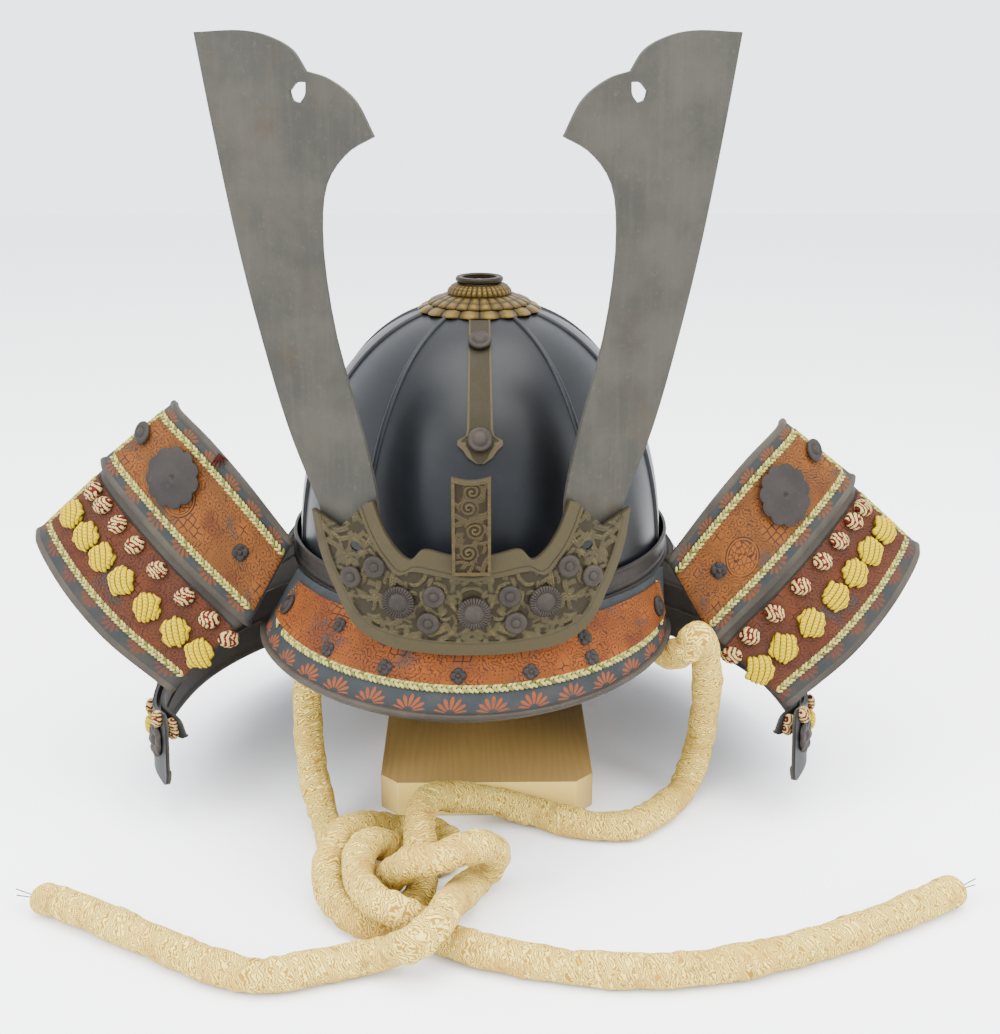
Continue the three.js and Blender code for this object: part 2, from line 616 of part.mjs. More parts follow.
function headPad() {
  const crown = bowlProfile(bowl.wall + 5, 6, 12).filter(([, z]) => z > 240);
  const [edgeRadius] = crown[0];
  const top = crown[crown.length - 1][1];
  const profile = [[0, post.top + gap], [edgeRadius - 12, post.top + gap], [edgeRadius - 1, 236], ...crown, [0, top]];
  return turned(profile, 16);
}
add("stand_pad", headPad(), finish.wood);

// ---- chin cord: two padded tubes tied in a loose knot in front of the stand, each with a free end

const cordRoutes = {
  chin_cord_left: [
    [-94, -30, 136], [-98, -47, 86], [-100, -54, 69], [-99, -62, 50], [-95, -74, 27], [-88, -89, 11],
    [-81, -112, 8], [-72, -130, 8], [-61, -141, 8], [-51, -152, 13], [-41, -165, 27], [-33, -176, 38],
    [-22, -178, 41], [-11, -169, 40], [-1, -159, 36], [6, -148, 27], [5, -144, 16], [-2, -146, 9],
    [-10, -164, 12], [-16, -192, 24], [-23, -214, 27], [-32, -220, 22], [-46, -214, 12], [-64, -215, 8],
    [-87, -222, 8], [-105, -226, 8], [-128, -218, 8], [-158, -200, 8], [-217, -164, 8],
    [-232, -158, 8],
  ],
  chin_cord_right: [
    [95, -30, 95], [107, -53, 96], [115, -68, 106], [120, -71, 115], [125, -65, 107], [129, -57, 82],
    [130, -47, 54], [128, -42, 27], [120, -51, 10], [107, -70, 8], [83, -92, 8], [56, -90, 8],
    [28, -78, 10], [5, -77, 16], [-15, -85, 23], [-28, -97, 29], [-33, -114, 31], [-33, -130, 29],
    [-32, -141, 22], [-31, -150, 12], [-33, -163, 8], [-40, -175, 8], [-51, -183, 8], [-62, -181, 8], [-72, -172, 9], [-79, -159, 13], [-80, -145, 21],
    [-76, -132, 26], [-69, -119, 24], [-60, -104, 15], [-47, -95, 8], [-32, -96, 8], [-22, -102, 8],
    [-17, -114, 8], [-23, -126, 8], [-32, -127, 8], [-42, -124, 10], [-52, -128, 19], [-60, -139, 26],
    [-64, -155, 26], [-63, -169, 25], [-58, -181, 24], [-49, -192, 24], [-40, -196, 22], [-31, -191, 12],
    [-21, -196, 8], [-4, -206, 8], [23, -216, 8], [56, -223, 8], [94, -224, 8], [133, -216, 8],
    [176, -199, 8], [250, -157, 8],
  ],
};

// A path whose sections stand at its own points, so that tight bends have more of them.
class RoutedCurve extends THREE.CatmullRomCurve3 {
  getUtoTmapping(u) {
    return u;
  }
}

function cordTube(route) {
  const path = new RoutedCurve(route.map(([x, y, z]) => vec(x, y, z)));
  const section = new THREE.Shape().absarc(0, 0, cordDiameter / 2, 0, 2 * Math.PI);
  return new THREE.ExtrudeGeometry(section, { steps: route.length - 1, extrudePath: path, curveSegments: 4 });
}
for (const [name, route] of Object.entries(cordRoutes)) add(name, cordTube(route), finish.cord);

export default helmet;
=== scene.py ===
import math
import random

import bmesh
import bpy
import numpy as np
from mathutils import Matrix, Vector


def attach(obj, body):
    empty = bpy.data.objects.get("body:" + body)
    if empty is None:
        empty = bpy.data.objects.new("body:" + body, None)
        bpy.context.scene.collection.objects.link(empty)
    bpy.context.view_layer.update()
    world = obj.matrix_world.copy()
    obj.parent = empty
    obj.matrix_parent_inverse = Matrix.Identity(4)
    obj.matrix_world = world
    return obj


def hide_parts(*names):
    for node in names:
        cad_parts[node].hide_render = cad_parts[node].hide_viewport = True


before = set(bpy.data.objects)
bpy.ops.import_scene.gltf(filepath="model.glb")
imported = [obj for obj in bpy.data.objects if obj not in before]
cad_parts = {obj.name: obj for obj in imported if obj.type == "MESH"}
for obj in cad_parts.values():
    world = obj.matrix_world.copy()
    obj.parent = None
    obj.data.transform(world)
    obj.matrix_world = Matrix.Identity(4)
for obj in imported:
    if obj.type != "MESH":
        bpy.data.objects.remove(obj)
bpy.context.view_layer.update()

axisShift = -20.6  # Y of the helmet's axis in millimetres; everything below is worked out about that axis
random.seed(7)
print("frame loaded")

# camera at the height of a table, looking slightly down at the helmet
cameraSettings = {"away": 796.4, "height": 426, "down": 18.4, "aside": -0.83, "lens": 49.44}
cameraData = bpy.data.cameras.new("tableCamera")
cameraData.lens = cameraSettings["lens"]
cameraData.sensor_width = 36
cameraData.clip_end = 20
camera = bpy.data.objects.new("tableCamera", cameraData)
camera.location = (0, (axisShift - cameraSettings["away"]) / 1000, cameraSettings["height"] / 1000)
camera.rotation_euler = (math.radians(90 - cameraSettings["down"]), 0, math.radians(cameraSettings["aside"]))
bpy.context.scene.collection.objects.link(camera)
bpy.context.scene.camera = camera


# A socket whose sums read as plain expressions.
class Wire:
    def __init__(self, shader, socket):
        self.shader = shader
        self.socket = socket

    def sum(self, operation, *values):
        return self.shader.node("Math", {"operation": operation}, dict(enumerate(values)))

    def __add__(self, other): return self.sum("ADD", self, other)
    def __radd__(self, other): return self.sum("ADD", other, self)
    def __sub__(self, other): return self.sum("SUBTRACT", self, other)
    def __rsub__(self, other): return self.sum("SUBTRACT", other, self)
    def __mul__(self, other): return self.sum("MULTIPLY", self, other)
    def __rmul__(self, other): return self.sum("MULTIPLY", other, self)
    def __truediv__(self, other): return self.sum("DIVIDE", self, other)
    def __rtruediv__(self, other): return self.sum("DIVIDE", other, self)
    def __pow__(self, other): return self.sum("POWER", self, other)
    def __lt__(self, other): return self.sum("LESS_THAN", self, other)
    def __abs__(self): return self.sum("ABSOLUTE", self)

    def least(self, other): return self.sum("MINIMUM", self, other)
    def most(self, other): return self.sum("MAXIMUM", self, other)
    def sine(self): return self.sum("SINE", self)
    def part(self): return self.sum("FRACT", self)

    def rise(self, start, end):
        settings = {"interpolation_type": "SMOOTHSTEP"}
        return self.shader.node("MapRange", settings, {"Value": self, "From Min": start, "From Max": end})


class Shader:
    def __init__(self, name, **surface):
        self.material = bpy.data.materials.new(name)
        self.material.use_nodes = True
        self.tree = self.material.node_tree
        self.surface = self.tree.nodes["Principled BSDF"]
        for key, value in surface.items():
            self.surface.inputs[socketNames.get(key, key)].default_value = value

    def node(self, kind, settings=None, inputs=None, output=0):
        node = self.tree.nodes.new("ShaderNode" + kind)
        for key, value in (settings or {}).items():
            setattr(node, key, value)
        for key, value in (inputs or {}).items():
            self.put(node.inputs[key], value)
        return Wire(self, node.outputs[output])

    def put(self, socket, value):
        if isinstance(value, Wire):
            self.tree.links.new(value.socket, socket)
        else:
            socket.default_value = value

    def to(self, name, value):
        self.put(self.surface.inputs[name], value)

    def mix(self, factor, first, second):
        return self.node("Mix", {"data_type": "RGBA"}, {0: factor, 6: first, 7: second}, 2)

    def place(self, output="Object"):
        return self.node("TexCoord", output=output)

    def scaled(self, place, x, y, z=1):
        return self.node("Mapping", None, {"Vector": place, "Scale": (x, y, z)})

    def axes(self, place):
        split = self.tree.nodes.new("ShaderNodeSeparateXYZ")
        self.put(split.inputs[0], place)
        return [Wire(self, output) for output in split.outputs]

    def joinAxes(self, x, y, z=0.0):
        return self.node("CombineXYZ", None, {0: x, 1: y, 2: z})

    def noise(self, place, scale, detail=3, roughness=0.5, distortion=0):
        inputs = {"Vector": place, "Scale": scale, "Detail": detail, "Roughness": roughness}
        inputs["Distortion"] = distortion
        return self.node("TexNoise", None, inputs)

    def cells(self, place, scale, feature="F1", randomness=1):
        inputs = {"Vector": place, "Scale": scale, "Randomness": randomness}
        return self.node("TexVoronoi", {"feature": feature}, inputs)

    def bands(self, place, scale, distortion, detail, direction="X"):
        inputs = {"Vector": place, "Scale": scale, "Distortion": distortion, "Detail": detail}
        return self.node("TexWave", {"bands_direction": direction}, inputs, 1)

    def turn(self, across, up):
        return self.node("Math", {"operation": "ARCTAN2"}, {0: across, 1: up})

    def relief(self):
        return self.node("Attribute", {"attribute_name": "relief"}, None, 2)

    def bump(self, height, distance, strength):
        inputs = {"Height": height, "Distance": distance / 1000, "Strength": strength}
        self.to("Normal", self.node("Bump", None, inputs))


socketNames = {"color": "Base Color", "rough": "Roughness", "metal": "Metallic", "coat": "Coat Weight",
               "coatRough": "Coat Roughness", "specular": "Specular IOR Level"}


# A colour as it should look; share dims it, as the room is lit strongly to keep its floor near white.
def tone(red, green, blue, share=0.2):
    screen = (red / 255, green / 255, blue / 255)
    linear = [c / 12.92 if c <= 0.04045 else ((c + 0.055) / 1.055) ** 2.4 for c in screen]
    return (*(c * share for c in linear), 1)


def lacquerFinish():
    shader = Shader("blackLacquer", rough=0.34, coat=0.03, coatRough=0.25, specular=0.16)
    place = shader.place()
    cloud = shader.noise(place, 22, 4)
    dust = shader.noise(place, 160, 5, 0.7)
    color = shader.mix(cloud.rise(0.3, 0.75), tone(24, 27, 31), tone(42, 46, 53))
    shader.to("Base Color", shader.mix(dust.rise(0.62, 0.8) * 0.3, color, tone(96, 94, 88)))
    shader.to("Roughness", 0.3 + cloud * 0.12 + dust * 0.1)
    shader.bump(dust * 0.3 + cloud, 0.25, 0.4)
    return shader.material


def metalFinish(name, base, shade, light, metal=0.7, rough=0.45, grain=1.0, stain=None):
    shader = Shader(name, metal=metal, specular=0.15)
    place = shader.place()
    cloud = shader.noise(place, 30, 5, 0.6)
    fine = shader.noise(place, 420, 4, 0.7)
    color = shader.mix(cloud.rise(0.35, 0.7), shade, base)
    color = shader.mix(fine.rise(0.55, 0.75) * 0.5, color, light)
    if stain:
        brushed = shader.noise(shader.scaled(place, 1, 1, 0.06), 260, 3, 0.6)
        color = shader.mix(brushed.rise(0.45, 0.7) * 0.16, color, light)
        spots = shader.noise(shader.scaled(place, 1, 1, 0.55), 17, 4, 0.65, 0.6)
        color = shader.mix(spots.rise(0.56, 0.74) * stain["amount"], color, stain["color"])
    shader.to("Base Color", color)
    shader.to("Roughness", rough + cloud * 0.16 + fine * 0.12 - 0.12)
    shader.bump(fine * 0.6 + cloud, 0.3 * grain, 0.45)
    return shader.material


def reliefFinish(name, low, middle, high, metal, rough, patina):
    shader = Shader(name, metal=metal, specular=0.15)
    place = shader.place()
    level = shader.relief()
    cloud = shader.noise(place, 45, 4, 0.6)
    fine = shader.noise(place, 700, 3, 0.7)
    color = shader.mix(level.rise(0.0, 0.45), low, middle)
    color = shader.mix((level * 0.8 + fine * 0.5).rise(0.72, 1.1) * 0.8, color, high)
    color = shader.mix(cloud.rise(0.5, 0.72) * 0.6, color, patina)
    shader.to("Base Color", color)
    shader.to("Roughness", rough + fine * 0.2 - level * 0.08)
    shader.bump(fine, 0.25, 0.5)
    return shader.material


# Outside of the lames grey brown, inside black; the relief attribute is 1 on the outside.
def lameFinish():
    shader = Shader("wornLames", rough=0.5, metal=0.1, specular=0.12)
    place = shader.place()
    level = shader.relief()
    cloud = shader.noise(place, 26, 4, 0.6)
    fine = shader.noise(place, 300, 4, 0.7)
    color = shader.mix(cloud.rise(0.35, 0.7), tone(92, 84, 74), tone(120, 110, 95))
    color = shader.mix(fine.rise(0.56, 0.75) * 0.5, color, tone(146, 132, 112))
    inside = shader.mix(cloud.rise(0.4, 0.7), tone(52, 53, 54), tone(74, 74, 72))
    shader.to("Base Color", shader.mix(level.rise(0.3, 0.7), inside, color))
    shader.to("Roughness", 0.4 + cloud * 0.16 + fine * 0.12)
    shader.bump(fine * 0.6 + cloud, 0.3, 0.45)
    return shader.material


# Leather printed all over with small rosettes, lattices and dots.
def leatherFinish(name, ground, worn, ink, darker=0.0, medallions=()):
    shader = Shader(name, rough=0.62, specular=0.08)
    place = shader.place("UV")
    x, y, _ = shader.axes(place)
    cloud = shader.noise(place, 40, 4, 0.6)
    grain = shader.noise(place, 900, 4, 0.7)
    zone = shader.noise(place, 38, 1)
    inputs = {"Vector": place, "Scale": 105, "Randomness": 0.55}
    middle = shader.node("TexVoronoi", {"feature": "F1"}, inputs, "Position")
    off = shader.node("VectorMath", {"operation": "SUBTRACT"}, {0: place, 1: middle})
    offX, offY, _ = shader.axes(off)
    away = (offX * offX + offY * offY) ** 0.5 * 1000
    turn = shader.turn(offX, offY)
    lobes = abs((turn * 3).sine())
    petals = 1 - abs(away - 1.9 - lobes * 0.9).rise(0.16, 0.3)
    leaves = 1 - abs(away - 3.6 - abs((turn * 4 + 0.6).sine()) * 1.3).rise(0.18, 0.32)
    leaves = leaves * (away * 2.1 + turn * 5).sine().rise(-0.7, -0.4)
    heart = 1 - away.rise(0.5, 0.75)
    flower = petals.most(leaves).most(heart)
    lattice = 1 - shader.cells(place, 240, "DISTANCE_TO_EDGE", randomness=0.3).rise(0.05, 0.11)
    dots = 1 - shader.cells(place, 560, randomness=0.3).rise(0.2, 0.3)
    strokes = shader.bands(place, 260, 9, 1.2, direction="DIAGONAL").rise(0.66, 0.76)
    pattern = flower.most(strokes * 0.8 * away.rise(4.2, 4.8))
    pattern = pattern * zone.rise(0.36, 0.42) * (1 - zone.rise(0.57, 0.6))
    pattern = pattern.most(lattice * zone.rise(0.58, 0.61))
    pattern = pattern.most(dots * (1 - zone.rise(0.38, 0.43)))
    fade = shader.noise(place, 80, 3, 0.7).rise(0.3, 0.5)
    color = shader.mix(cloud.rise(0.3, 0.72), worn, ground)
    red = (shader.noise(place, 24, 2).rise(0.52, 0.64) + darker).least(1)
    color = shader.mix(red * 0.6, color, tone(120, 58, 36, 0.24))
    color = shader.mix(shader.noise(place, 31, 3, 0.6).rise(0.55, 0.66) * 0.75, color, tone(98, 90, 84))
    for spotX, spotY, radius in medallions:
        off = (((x - spotX) ** 2 + (y - spotY) ** 2) ** 0.5) / radius
        inside = 1 - off.rise(0.97, 1.0)
        rings = (abs(off - 0.93) < 0.04).most((abs(off - 0.8) < 0.02) * 1)
        curls = 1 - shader.cells(place, 330, "DISTANCE_TO_EDGE").rise(0.03, 0.1)
        pattern = pattern * (1 - inside)
        pattern = pattern.most(rings.most(curls * (1 - off.rise(0.76, 0.8))) * inside)
        color = shader.mix(inside, color, ground)
    color = shader.mix(pattern * (0.3 + fade * 0.6), color, ink)
    shader.to("Base Color", shader.mix(grain.rise(0.6, 0.8) * 0.25, color, tone(200, 146, 90)))
    shader.to("Roughness", 0.52 + grain * 0.22)
    shader.bump(grain * 0.5 + pattern * -0.3 + cloud, 0.35, 0.5)
    return shader.material


# Dyed border with rows of fans; each foot is a distance across the border and the way its fans point.
def fanBorderFinish(name, pitch, feet, reach, ground, fan):
    shader = Shader(name, rough=0.6, specular=0.08)
    place = shader.place("UV")
    x, y, _ = shader.axes(place)
    cloud = shader.noise(place, 50, 4, 0.6)
    grain = shader.noise(place, 800, 4, 0.7)
    across = ((x / pitch).part() - 0.5) * pitch
    fans = 0.0
    for foot, way in feet:
        up = (y - foot) * way
        away = (across * across + up * up) ** 0.5
        turn = shader.turn(across, up)
        petal = abs((turn * 7 / math.pi + 0.5).part() - 0.5)          # 0 on a petal's middle line
        tip = reach * (1 - petal * petal * 2.4) * (1 - abs(turn) * 0.12)
        petals = (1 - petal.rise(0.27, 0.37)) * (1 - away.rise(tip * 0.9, tip))
        petals = petals * (1 - abs(turn).rise(1.3, 1.42))
        fans = petals * away.rise(reach * 0.22, reach * 0.3) + fans
    worn = shader.noise(place, 120, 4, 0.7).rise(0.3, 0.5)
    color = shader.mix(cloud.rise(0.35, 0.68), tone(80, 84, 84), ground)
    color = shader.mix(cloud.rise(0.54, 0.7) * 0.6, color, tone(112, 96, 78))
    color = shader.mix(fans.least(1) * (0.35 + worn * 0.6), color, fan)
    shader.to("Base Color", color)
    shader.to("Roughness", 0.5 + grain * 0.24)
    shader.bump(grain + cloud, 0.3, 0.5)
    return shader.material


# Silk thread: grooves and strands come from the relief attribute, the hue of a strand from UV. The groove
# colour is painted shade, laid where the relief is low and in stripes between the fine strands.
def threadFinish(name, groove, first, second, rows):
    shader = Shader(name, rough=0.85, specular=0.1)
    place = shader.place()
    level = shader.relief()
    hue = shader.axes(shader.place("UV"))[0]
    strands = shader.bands(place, rows, 2, 1, direction="DIAGONAL")
    color = shader.mix(hue.rise(0.3, 0.7), first, second)
    # painted shade: stripes between the fine strands darkened towards the groove colour
    color = shader.mix(strands.rise(0.7, 0.2) * 0.3, color, groove)
    # painted shade: low relief, in the grooves, darkened to the groove colour
    shader.to("Base Color", shader.mix(level.rise(0.5, 0.05), color, groove))
    shader.bump(strands, 0.4, 0.6)
    return shader.material


def brocadeFinish():
    shader = Shader("paddedBrocade", rough=0.88, specular=0.1)
    place = shader.place("UV")
    x, y, _ = shader.axes(place)
    warp = shader.noise(place, 150, 2, 0.5)
    worms = shader.bands(shader.joinAxes(x + warp * 0.014, y + warp * 0.009), 250, 15, 1.5, direction="Y")
    threads = shader.bands(place, 900, 1, 1, direction="X")
    fine = shader.noise(place, 1500, 3, 0.7)
    blotch = shader.noise(place, 30, 4, 0.65)
    wear = shader.noise(place, 70, 4, 0.7)
    color = shader.mix(worms.rise(0.3, 0.7), tone(206, 158, 56, 0.56), tone(250, 224, 122, 0.86))
    color = shader.mix(blotch.rise(0.45, 0.66) * 0.6, color, tone(226, 172, 78, 0.58))
    color = shader.mix(wear.rise(0.56, 0.72) * 0.55, color, tone(160, 124, 50, 0.42))
    green = shader.noise(place, 44, 3, 0.6).rise(0.6, 0.72)
    color = shader.mix(green * 0.4, color, tone(178, 184, 112, 0.62))
    shader.to("Base Color", shader.mix(threads * 0.16, color, tone(150, 112, 54, 0.5)))
    shader.bump(worms * 0.8 + threads * 0.35 + fine * 0.4, 0.6, 0.8)
    return shader.material


def woodFinish():
    shader = Shader("planedWood", rough=0.5, coat=0.06, coatRough=0.4, specular=0.3)
    place = shader.place()
    x, y, z = shader.axes(place)
    waver = shader.noise(shader.scaled(place, 1, 0.12, 1), 30, 3)
    rings = shader.bands(shader.joinAxes(x + waver * 0.03, y * 0.06, z + waver * 0.02), 70, 2.5, 2)
    pores = shader.noise(shader.scaled(place, 1, 0.05, 1), 900, 4, 0.7)
    # Painted light: faces turned to the front and back, along Y, are painted far lighter, as if lit.
    normal = shader.node("NewGeometry", output=1)
    paintedLightFacing = shader.axes(normal)[1]
    color = shader.mix(rings * 0.3, tone(206, 166, 96, 0.4), tone(184, 140, 74, 0.4))
    color = shader.mix(pores.rise(0.55, 0.75) * 0.35, color, tone(160, 118, 60, 0.4))
    color = shader.mix(abs(paintedLightFacing).rise(0.5, 0.9) * 0.7, color, tone(248, 214, 112, 0.86))
    shader.to("Base Color", color)
    shader.to("Roughness", 0.42 + pores * 0.2)
    shader.bump(pores * 0.6 + rings * 0.2, 0.3, 0.4)
    return shader.material


def braidFinish():
    shader = Shader("plaitedBraid", rough=0.8, specular=0.1)
    shade, _, _ = shader.axes(shader.place("UV"))
    place = shader.place()
    fibre = shader.noise(place, 1800, 3, 0.7)
    color = shader.mix(shade, tone(222, 212, 118, 0.42), tone(92, 102, 46, 0.3))
    shader.to("Base Color", shader.mix(fibre.rise(0.55, 0.75) * 0.5, color, tone(92, 88, 52)))
    shader.bump(fibre, 0.3, 0.6)
    return shader.material


rust = {"amount": 0.4, "color": tone(128, 98, 72)}
finishes = {
    "lacquer": lacquerFinish(),
    "horn": metalFinish("agedHorn", tone(126, 122, 110), tone(106, 103, 94), tone(148, 142, 126),
                        0.5, 0.5, 0.6, rust),
    "bronze": reliefFinish("darkBronze", tone(74, 66, 46), tone(118, 106, 76), tone(174, 152, 90),
                           0.5, 0.5, tone(96, 88, 72)),
    "goldRelief": reliefFinish("chasedGilding", tone(72, 60, 40), tone(114, 98, 64), tone(176, 152, 94),
                               0.5, 0.46, tone(98, 88, 66)),
    "gilt": reliefFinish("wornGilding", tone(44, 34, 14), tone(128, 100, 40), tone(198, 164, 70),
                         0.6, 0.44, tone(92, 72, 30)),
    "iron": metalFinish("brownIron", tone(112, 100, 90), tone(84, 76, 69), tone(140, 127, 112), 0.35, 0.6),
    "darkIron": metalFinish("blackenedIron", tone(88, 80, 74), tone(68, 62, 58), tone(118, 106, 94),
                            0.3, 0.55),
    "lame": lameFinish(),
    "leather": leatherFinish("printedLeather", tone(186, 100, 34, 0.26), tone(150, 82, 32, 0.26),
                             tone(66, 40, 38, 0.2)),
    "darkLeather": leatherFinish("darkPrintedLeather", tone(140, 74, 36, 0.26), tone(112, 68, 46, 0.26),
                                 tone(62, 44, 46, 0.2), 0.3),
    "braid": braidFinish(),
    # The first colour of each thread is the painted shade in its grooves.
    "redThread": threadFinish("redThread", tone(90, 26, 18, 0.25), tone(168, 48, 34, 0.3),
                              tone(150, 44, 30, 0.3), 900),
    "yellow": threadFinish("yellowSilk", tone(120, 92, 0, 0.22), tone(255, 226, 0, 0.5),
                           tone(240, 196, 0, 0.4), 700),
    "knot": threadFinish("twistedThread", tone(58, 26, 22, 0.22), tone(232, 206, 136, 0.5),
                         tone(150, 46, 30, 0.28), 900),
    "cord": brocadeFinish(),
    "wood": woodFinish(),
}
print("finishes made:", len(finishes))


# Surfaces take u and v from 0 to 1 and give millimetres about the helmet's axis.
def splineThrough(rows):
    points = np.array(rows, float)
    padded = np.vstack([2 * points[0] - points[1], points, 2 * points[-1] - points[-2]])
    spans = np.maximum(np.linalg.norm(np.diff(padded, axis=0), axis=1) ** 0.5, 1e-4)

    def at(t):
        t = np.clip(np.asarray(t, float), 0, 1) * (len(points) - 1)
        first = np.minimum(t.astype(int), len(points) - 2)
        w = (t - first)[..., None]
        before, a, b, after = (padded[first + i] for i in range(4))
        d0, d1, d2 = (spans[first + i][..., None] for i in range(3))
        leave = ((a - before) / d0 - (b - before) / (d0 + d1) + (b - a) / d1) * d1
        arrive = ((b - a) / d1 - (after - a) / (d1 + d2) + (after - b) / d2) * d1
        bend = -3 * a + 3 * b - 2 * leave - arrive
        turn = 2 * a - 2 * b + leave + arrive
        return a + leave * w + bend * w ** 2 + turn * w ** 3

    return at


def stack(*parts):
    return np.stack(np.broadcast_arrays(*parts), axis=-1).astype(float)


def normalsOf(surface, u, v, step=1e-3):
    along = surface(np.minimum(u + step, 1), v) - surface(np.maximum(u - step, 0), v)
    across = surface(u, np.minimum(v + step, 1)) - surface(u, np.maximum(v - step, 0))
    normal = np.cross(along, across)
    return normal / np.maximum(np.linalg.norm(normal, axis=-1, keepdims=True), 1e-9)


def seatOn(surface, u, v, lift, spin=0.0):
    point = surface(np.array([u]), np.array([v]))[0]
    normal = Vector(normalsOf(surface, np.array([u]), np.array([v]))[0])
    turn = Vector((0, 0, 1)).rotation_difference(normal).to_matrix().to_4x4()
    return Matrix.Translation(Vector(point) + normal * lift) @ turn @ Matrix.Rotation(spin, 4, "Z")


def madePiece(bm, name, finish, nodes=(), flatAngle=38):
    bmesh.ops.scale(bm, verts=bm.verts, vec=(0.001, 0.001, 0.001))
    bmesh.ops.translate(bm, verts=bm.verts, vec=(0, axisShift / 1000, 0))
    mesh = bpy.data.meshes.new(name)
    bm.to_mesh(mesh)
    bm.free()
    mesh.materials.append(finishes[finish])
    mesh.shade_smooth()
    mesh.set_sharp_from_angle(angle=math.radians(flatAngle))
    piece = bpy.data.objects.new(name, mesh)
    bpy.context.scene.collection.objects.link(piece)
    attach(piece, "root")
    if nodes:
        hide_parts(*nodes)
    return piece


# Distance run along a line of points.
def runOf(line):
    return np.concatenate([[0], np.cumsum(np.linalg.norm(np.diff(line, axis=0), axis=1))])


# Distance in metres across a surface from its edge v = 0.
def depthAt(surface, u, v):
    steps = np.linspace(0, 1, 41)
    return np.interp(v, steps, runOf(surface(np.full(41, u), steps))) / 1000


def uvLayerOf(bm):
    return bm.loops.layers.uv.get("UVMap") or bm.loops.layers.uv.new("UVMap")


def reliefLayerOf(bm):
    return bm.verts.layers.float.get("relief") or bm.verts.layers.float.new("relief")


# A closed wall on a surface; low and high are offsets along its normal, numbers or functions of u and v.
def wallOn(bm, surface, span, rows, low, high, cells, relief=None):
    uvLayer = uvLayerOf(bm)
    order = bm.verts.layers.int.get("order") or bm.verts.layers.int.new("order")
    shade = reliefLayerOf(bm) if relief else None
    grid = bmesh.ops.create_grid(bm, x_segments=cells[0], y_segments=cells[1], size=0.5)["verts"]
    u = np.array([span[0] + (span[1] - span[0]) * (vert.co.x + 0.5) for vert in grid])
    v = np.array([rows[0] + (rows[1] - rows[0]) * (vert.co.y + 0.5) for vert in grid])
    point, normal = surface(u, v), normalsOf(surface, u, v)
    bottom = point + normal * np.reshape(low(u, v) if callable(low) else np.full(len(u), low), (-1, 1))
    lift = high(u, v) if callable(high) else np.full(len(u), high)
    top = point + normal * np.reshape(lift, (-1, 1))
    for i, vert in enumerate(grid):
        vert[order] = i + 1
    fine = np.linspace(span[0], span[1], 160)
    line = surface(fine, np.full(160, (rows[0] + rows[1]) / 2))
    run = runOf(line) / 1000
    faces = list({face for vert in grid for face in vert.link_faces})
    s, t = np.interp(u, fine, run), depthAt(surface, (span[0] + span[1]) / 2, v)
    for face in faces:
        for loop in face.loops:
            i = loop.vert[order] - 1
            loop[uvLayer].uv = (s[i], t[i])
    raised = bmesh.ops.extrude_face_region(bm, geom=faces)["geom"]
    level = relief(u, v) if relief else None
    for vert in [item for item in raised if isinstance(item, bmesh.types.BMVert)]:
        i = vert[order] - 1
        vert.co = top[i]
        if level is not None:
            vert[shade] = float(level[i])
    for i, vert in enumerate(grid):
        vert.co = bottom[i]
    for vert in bm.verts:
        vert[order] = 0
    return grid


def sheetOn(name, surface, span, rows, low, high, cells, finish, nodes=(), relief=None,
            flatAngle=38):
    bm = bmesh.new()
    wallOn(bm, surface, span, rows, low, high, cells, relief)
    bmesh.ops.recalc_face_normals(bm, faces=bm.faces)
    return madePiece(bm, name, finish, nodes, flatAngle)


# A turned form; warp takes angle, radius and height and gives a new radius and height.
def spun(bm, profile, steps, warp=None, place=None):
    rim = [bm.verts.new((radius, 0, height)) for radius, height in profile]
    edges = [bm.edges.new((a, b)) for a, b in zip(rim, rim[1:])]
    turned = bmesh.ops.spin(bm, geom=rim + edges, cent=(0, 0, 0), axis=(0, 0, 1), dvec=(0, 0, 0),
                            angle=math.tau, steps=steps, use_merge=True)
    verts = {vert for edge in edges for vert in edge.verts}
    stackOf = list(verts)
    while stackOf:
        for edge in stackOf.pop().link_edges:
            for vert in edge.verts:
                if vert not in verts:
                    verts.add(vert)
                    stackOf.append(vert)
    bmesh.ops.remove_doubles(bm, verts=list(verts), dist=1e-4)
    verts = [vert for vert in verts if vert.is_valid]
    if warp:
        for vert in verts:
            angle, radius = math.atan2(vert.co.y, vert.co.x), math.hypot(vert.co.x, vert.co.y)
            if radius > 1e-6:
                newRadius, vert.co.z = warp(angle, radius, vert.co.z)
                vert.co.x *= newRadius / radius
                vert.co.y *= newRadius / radius
    bmesh.ops.recalc_face_normals(bm, faces=list({face for vert in verts for face in vert.link_faces}))
    if place is not None:
        bmesh.ops.transform(bm, matrix=place, verts=verts)
    return verts


def turnedPiece(name, profile, steps, finish, nodes=(), warp=None, place=None, flatAngle=38):
    bm = bmesh.new()
    spun(bm, profile, steps, warp, place)
    return madePiece(bm, name, finish, nodes, flatAngle)


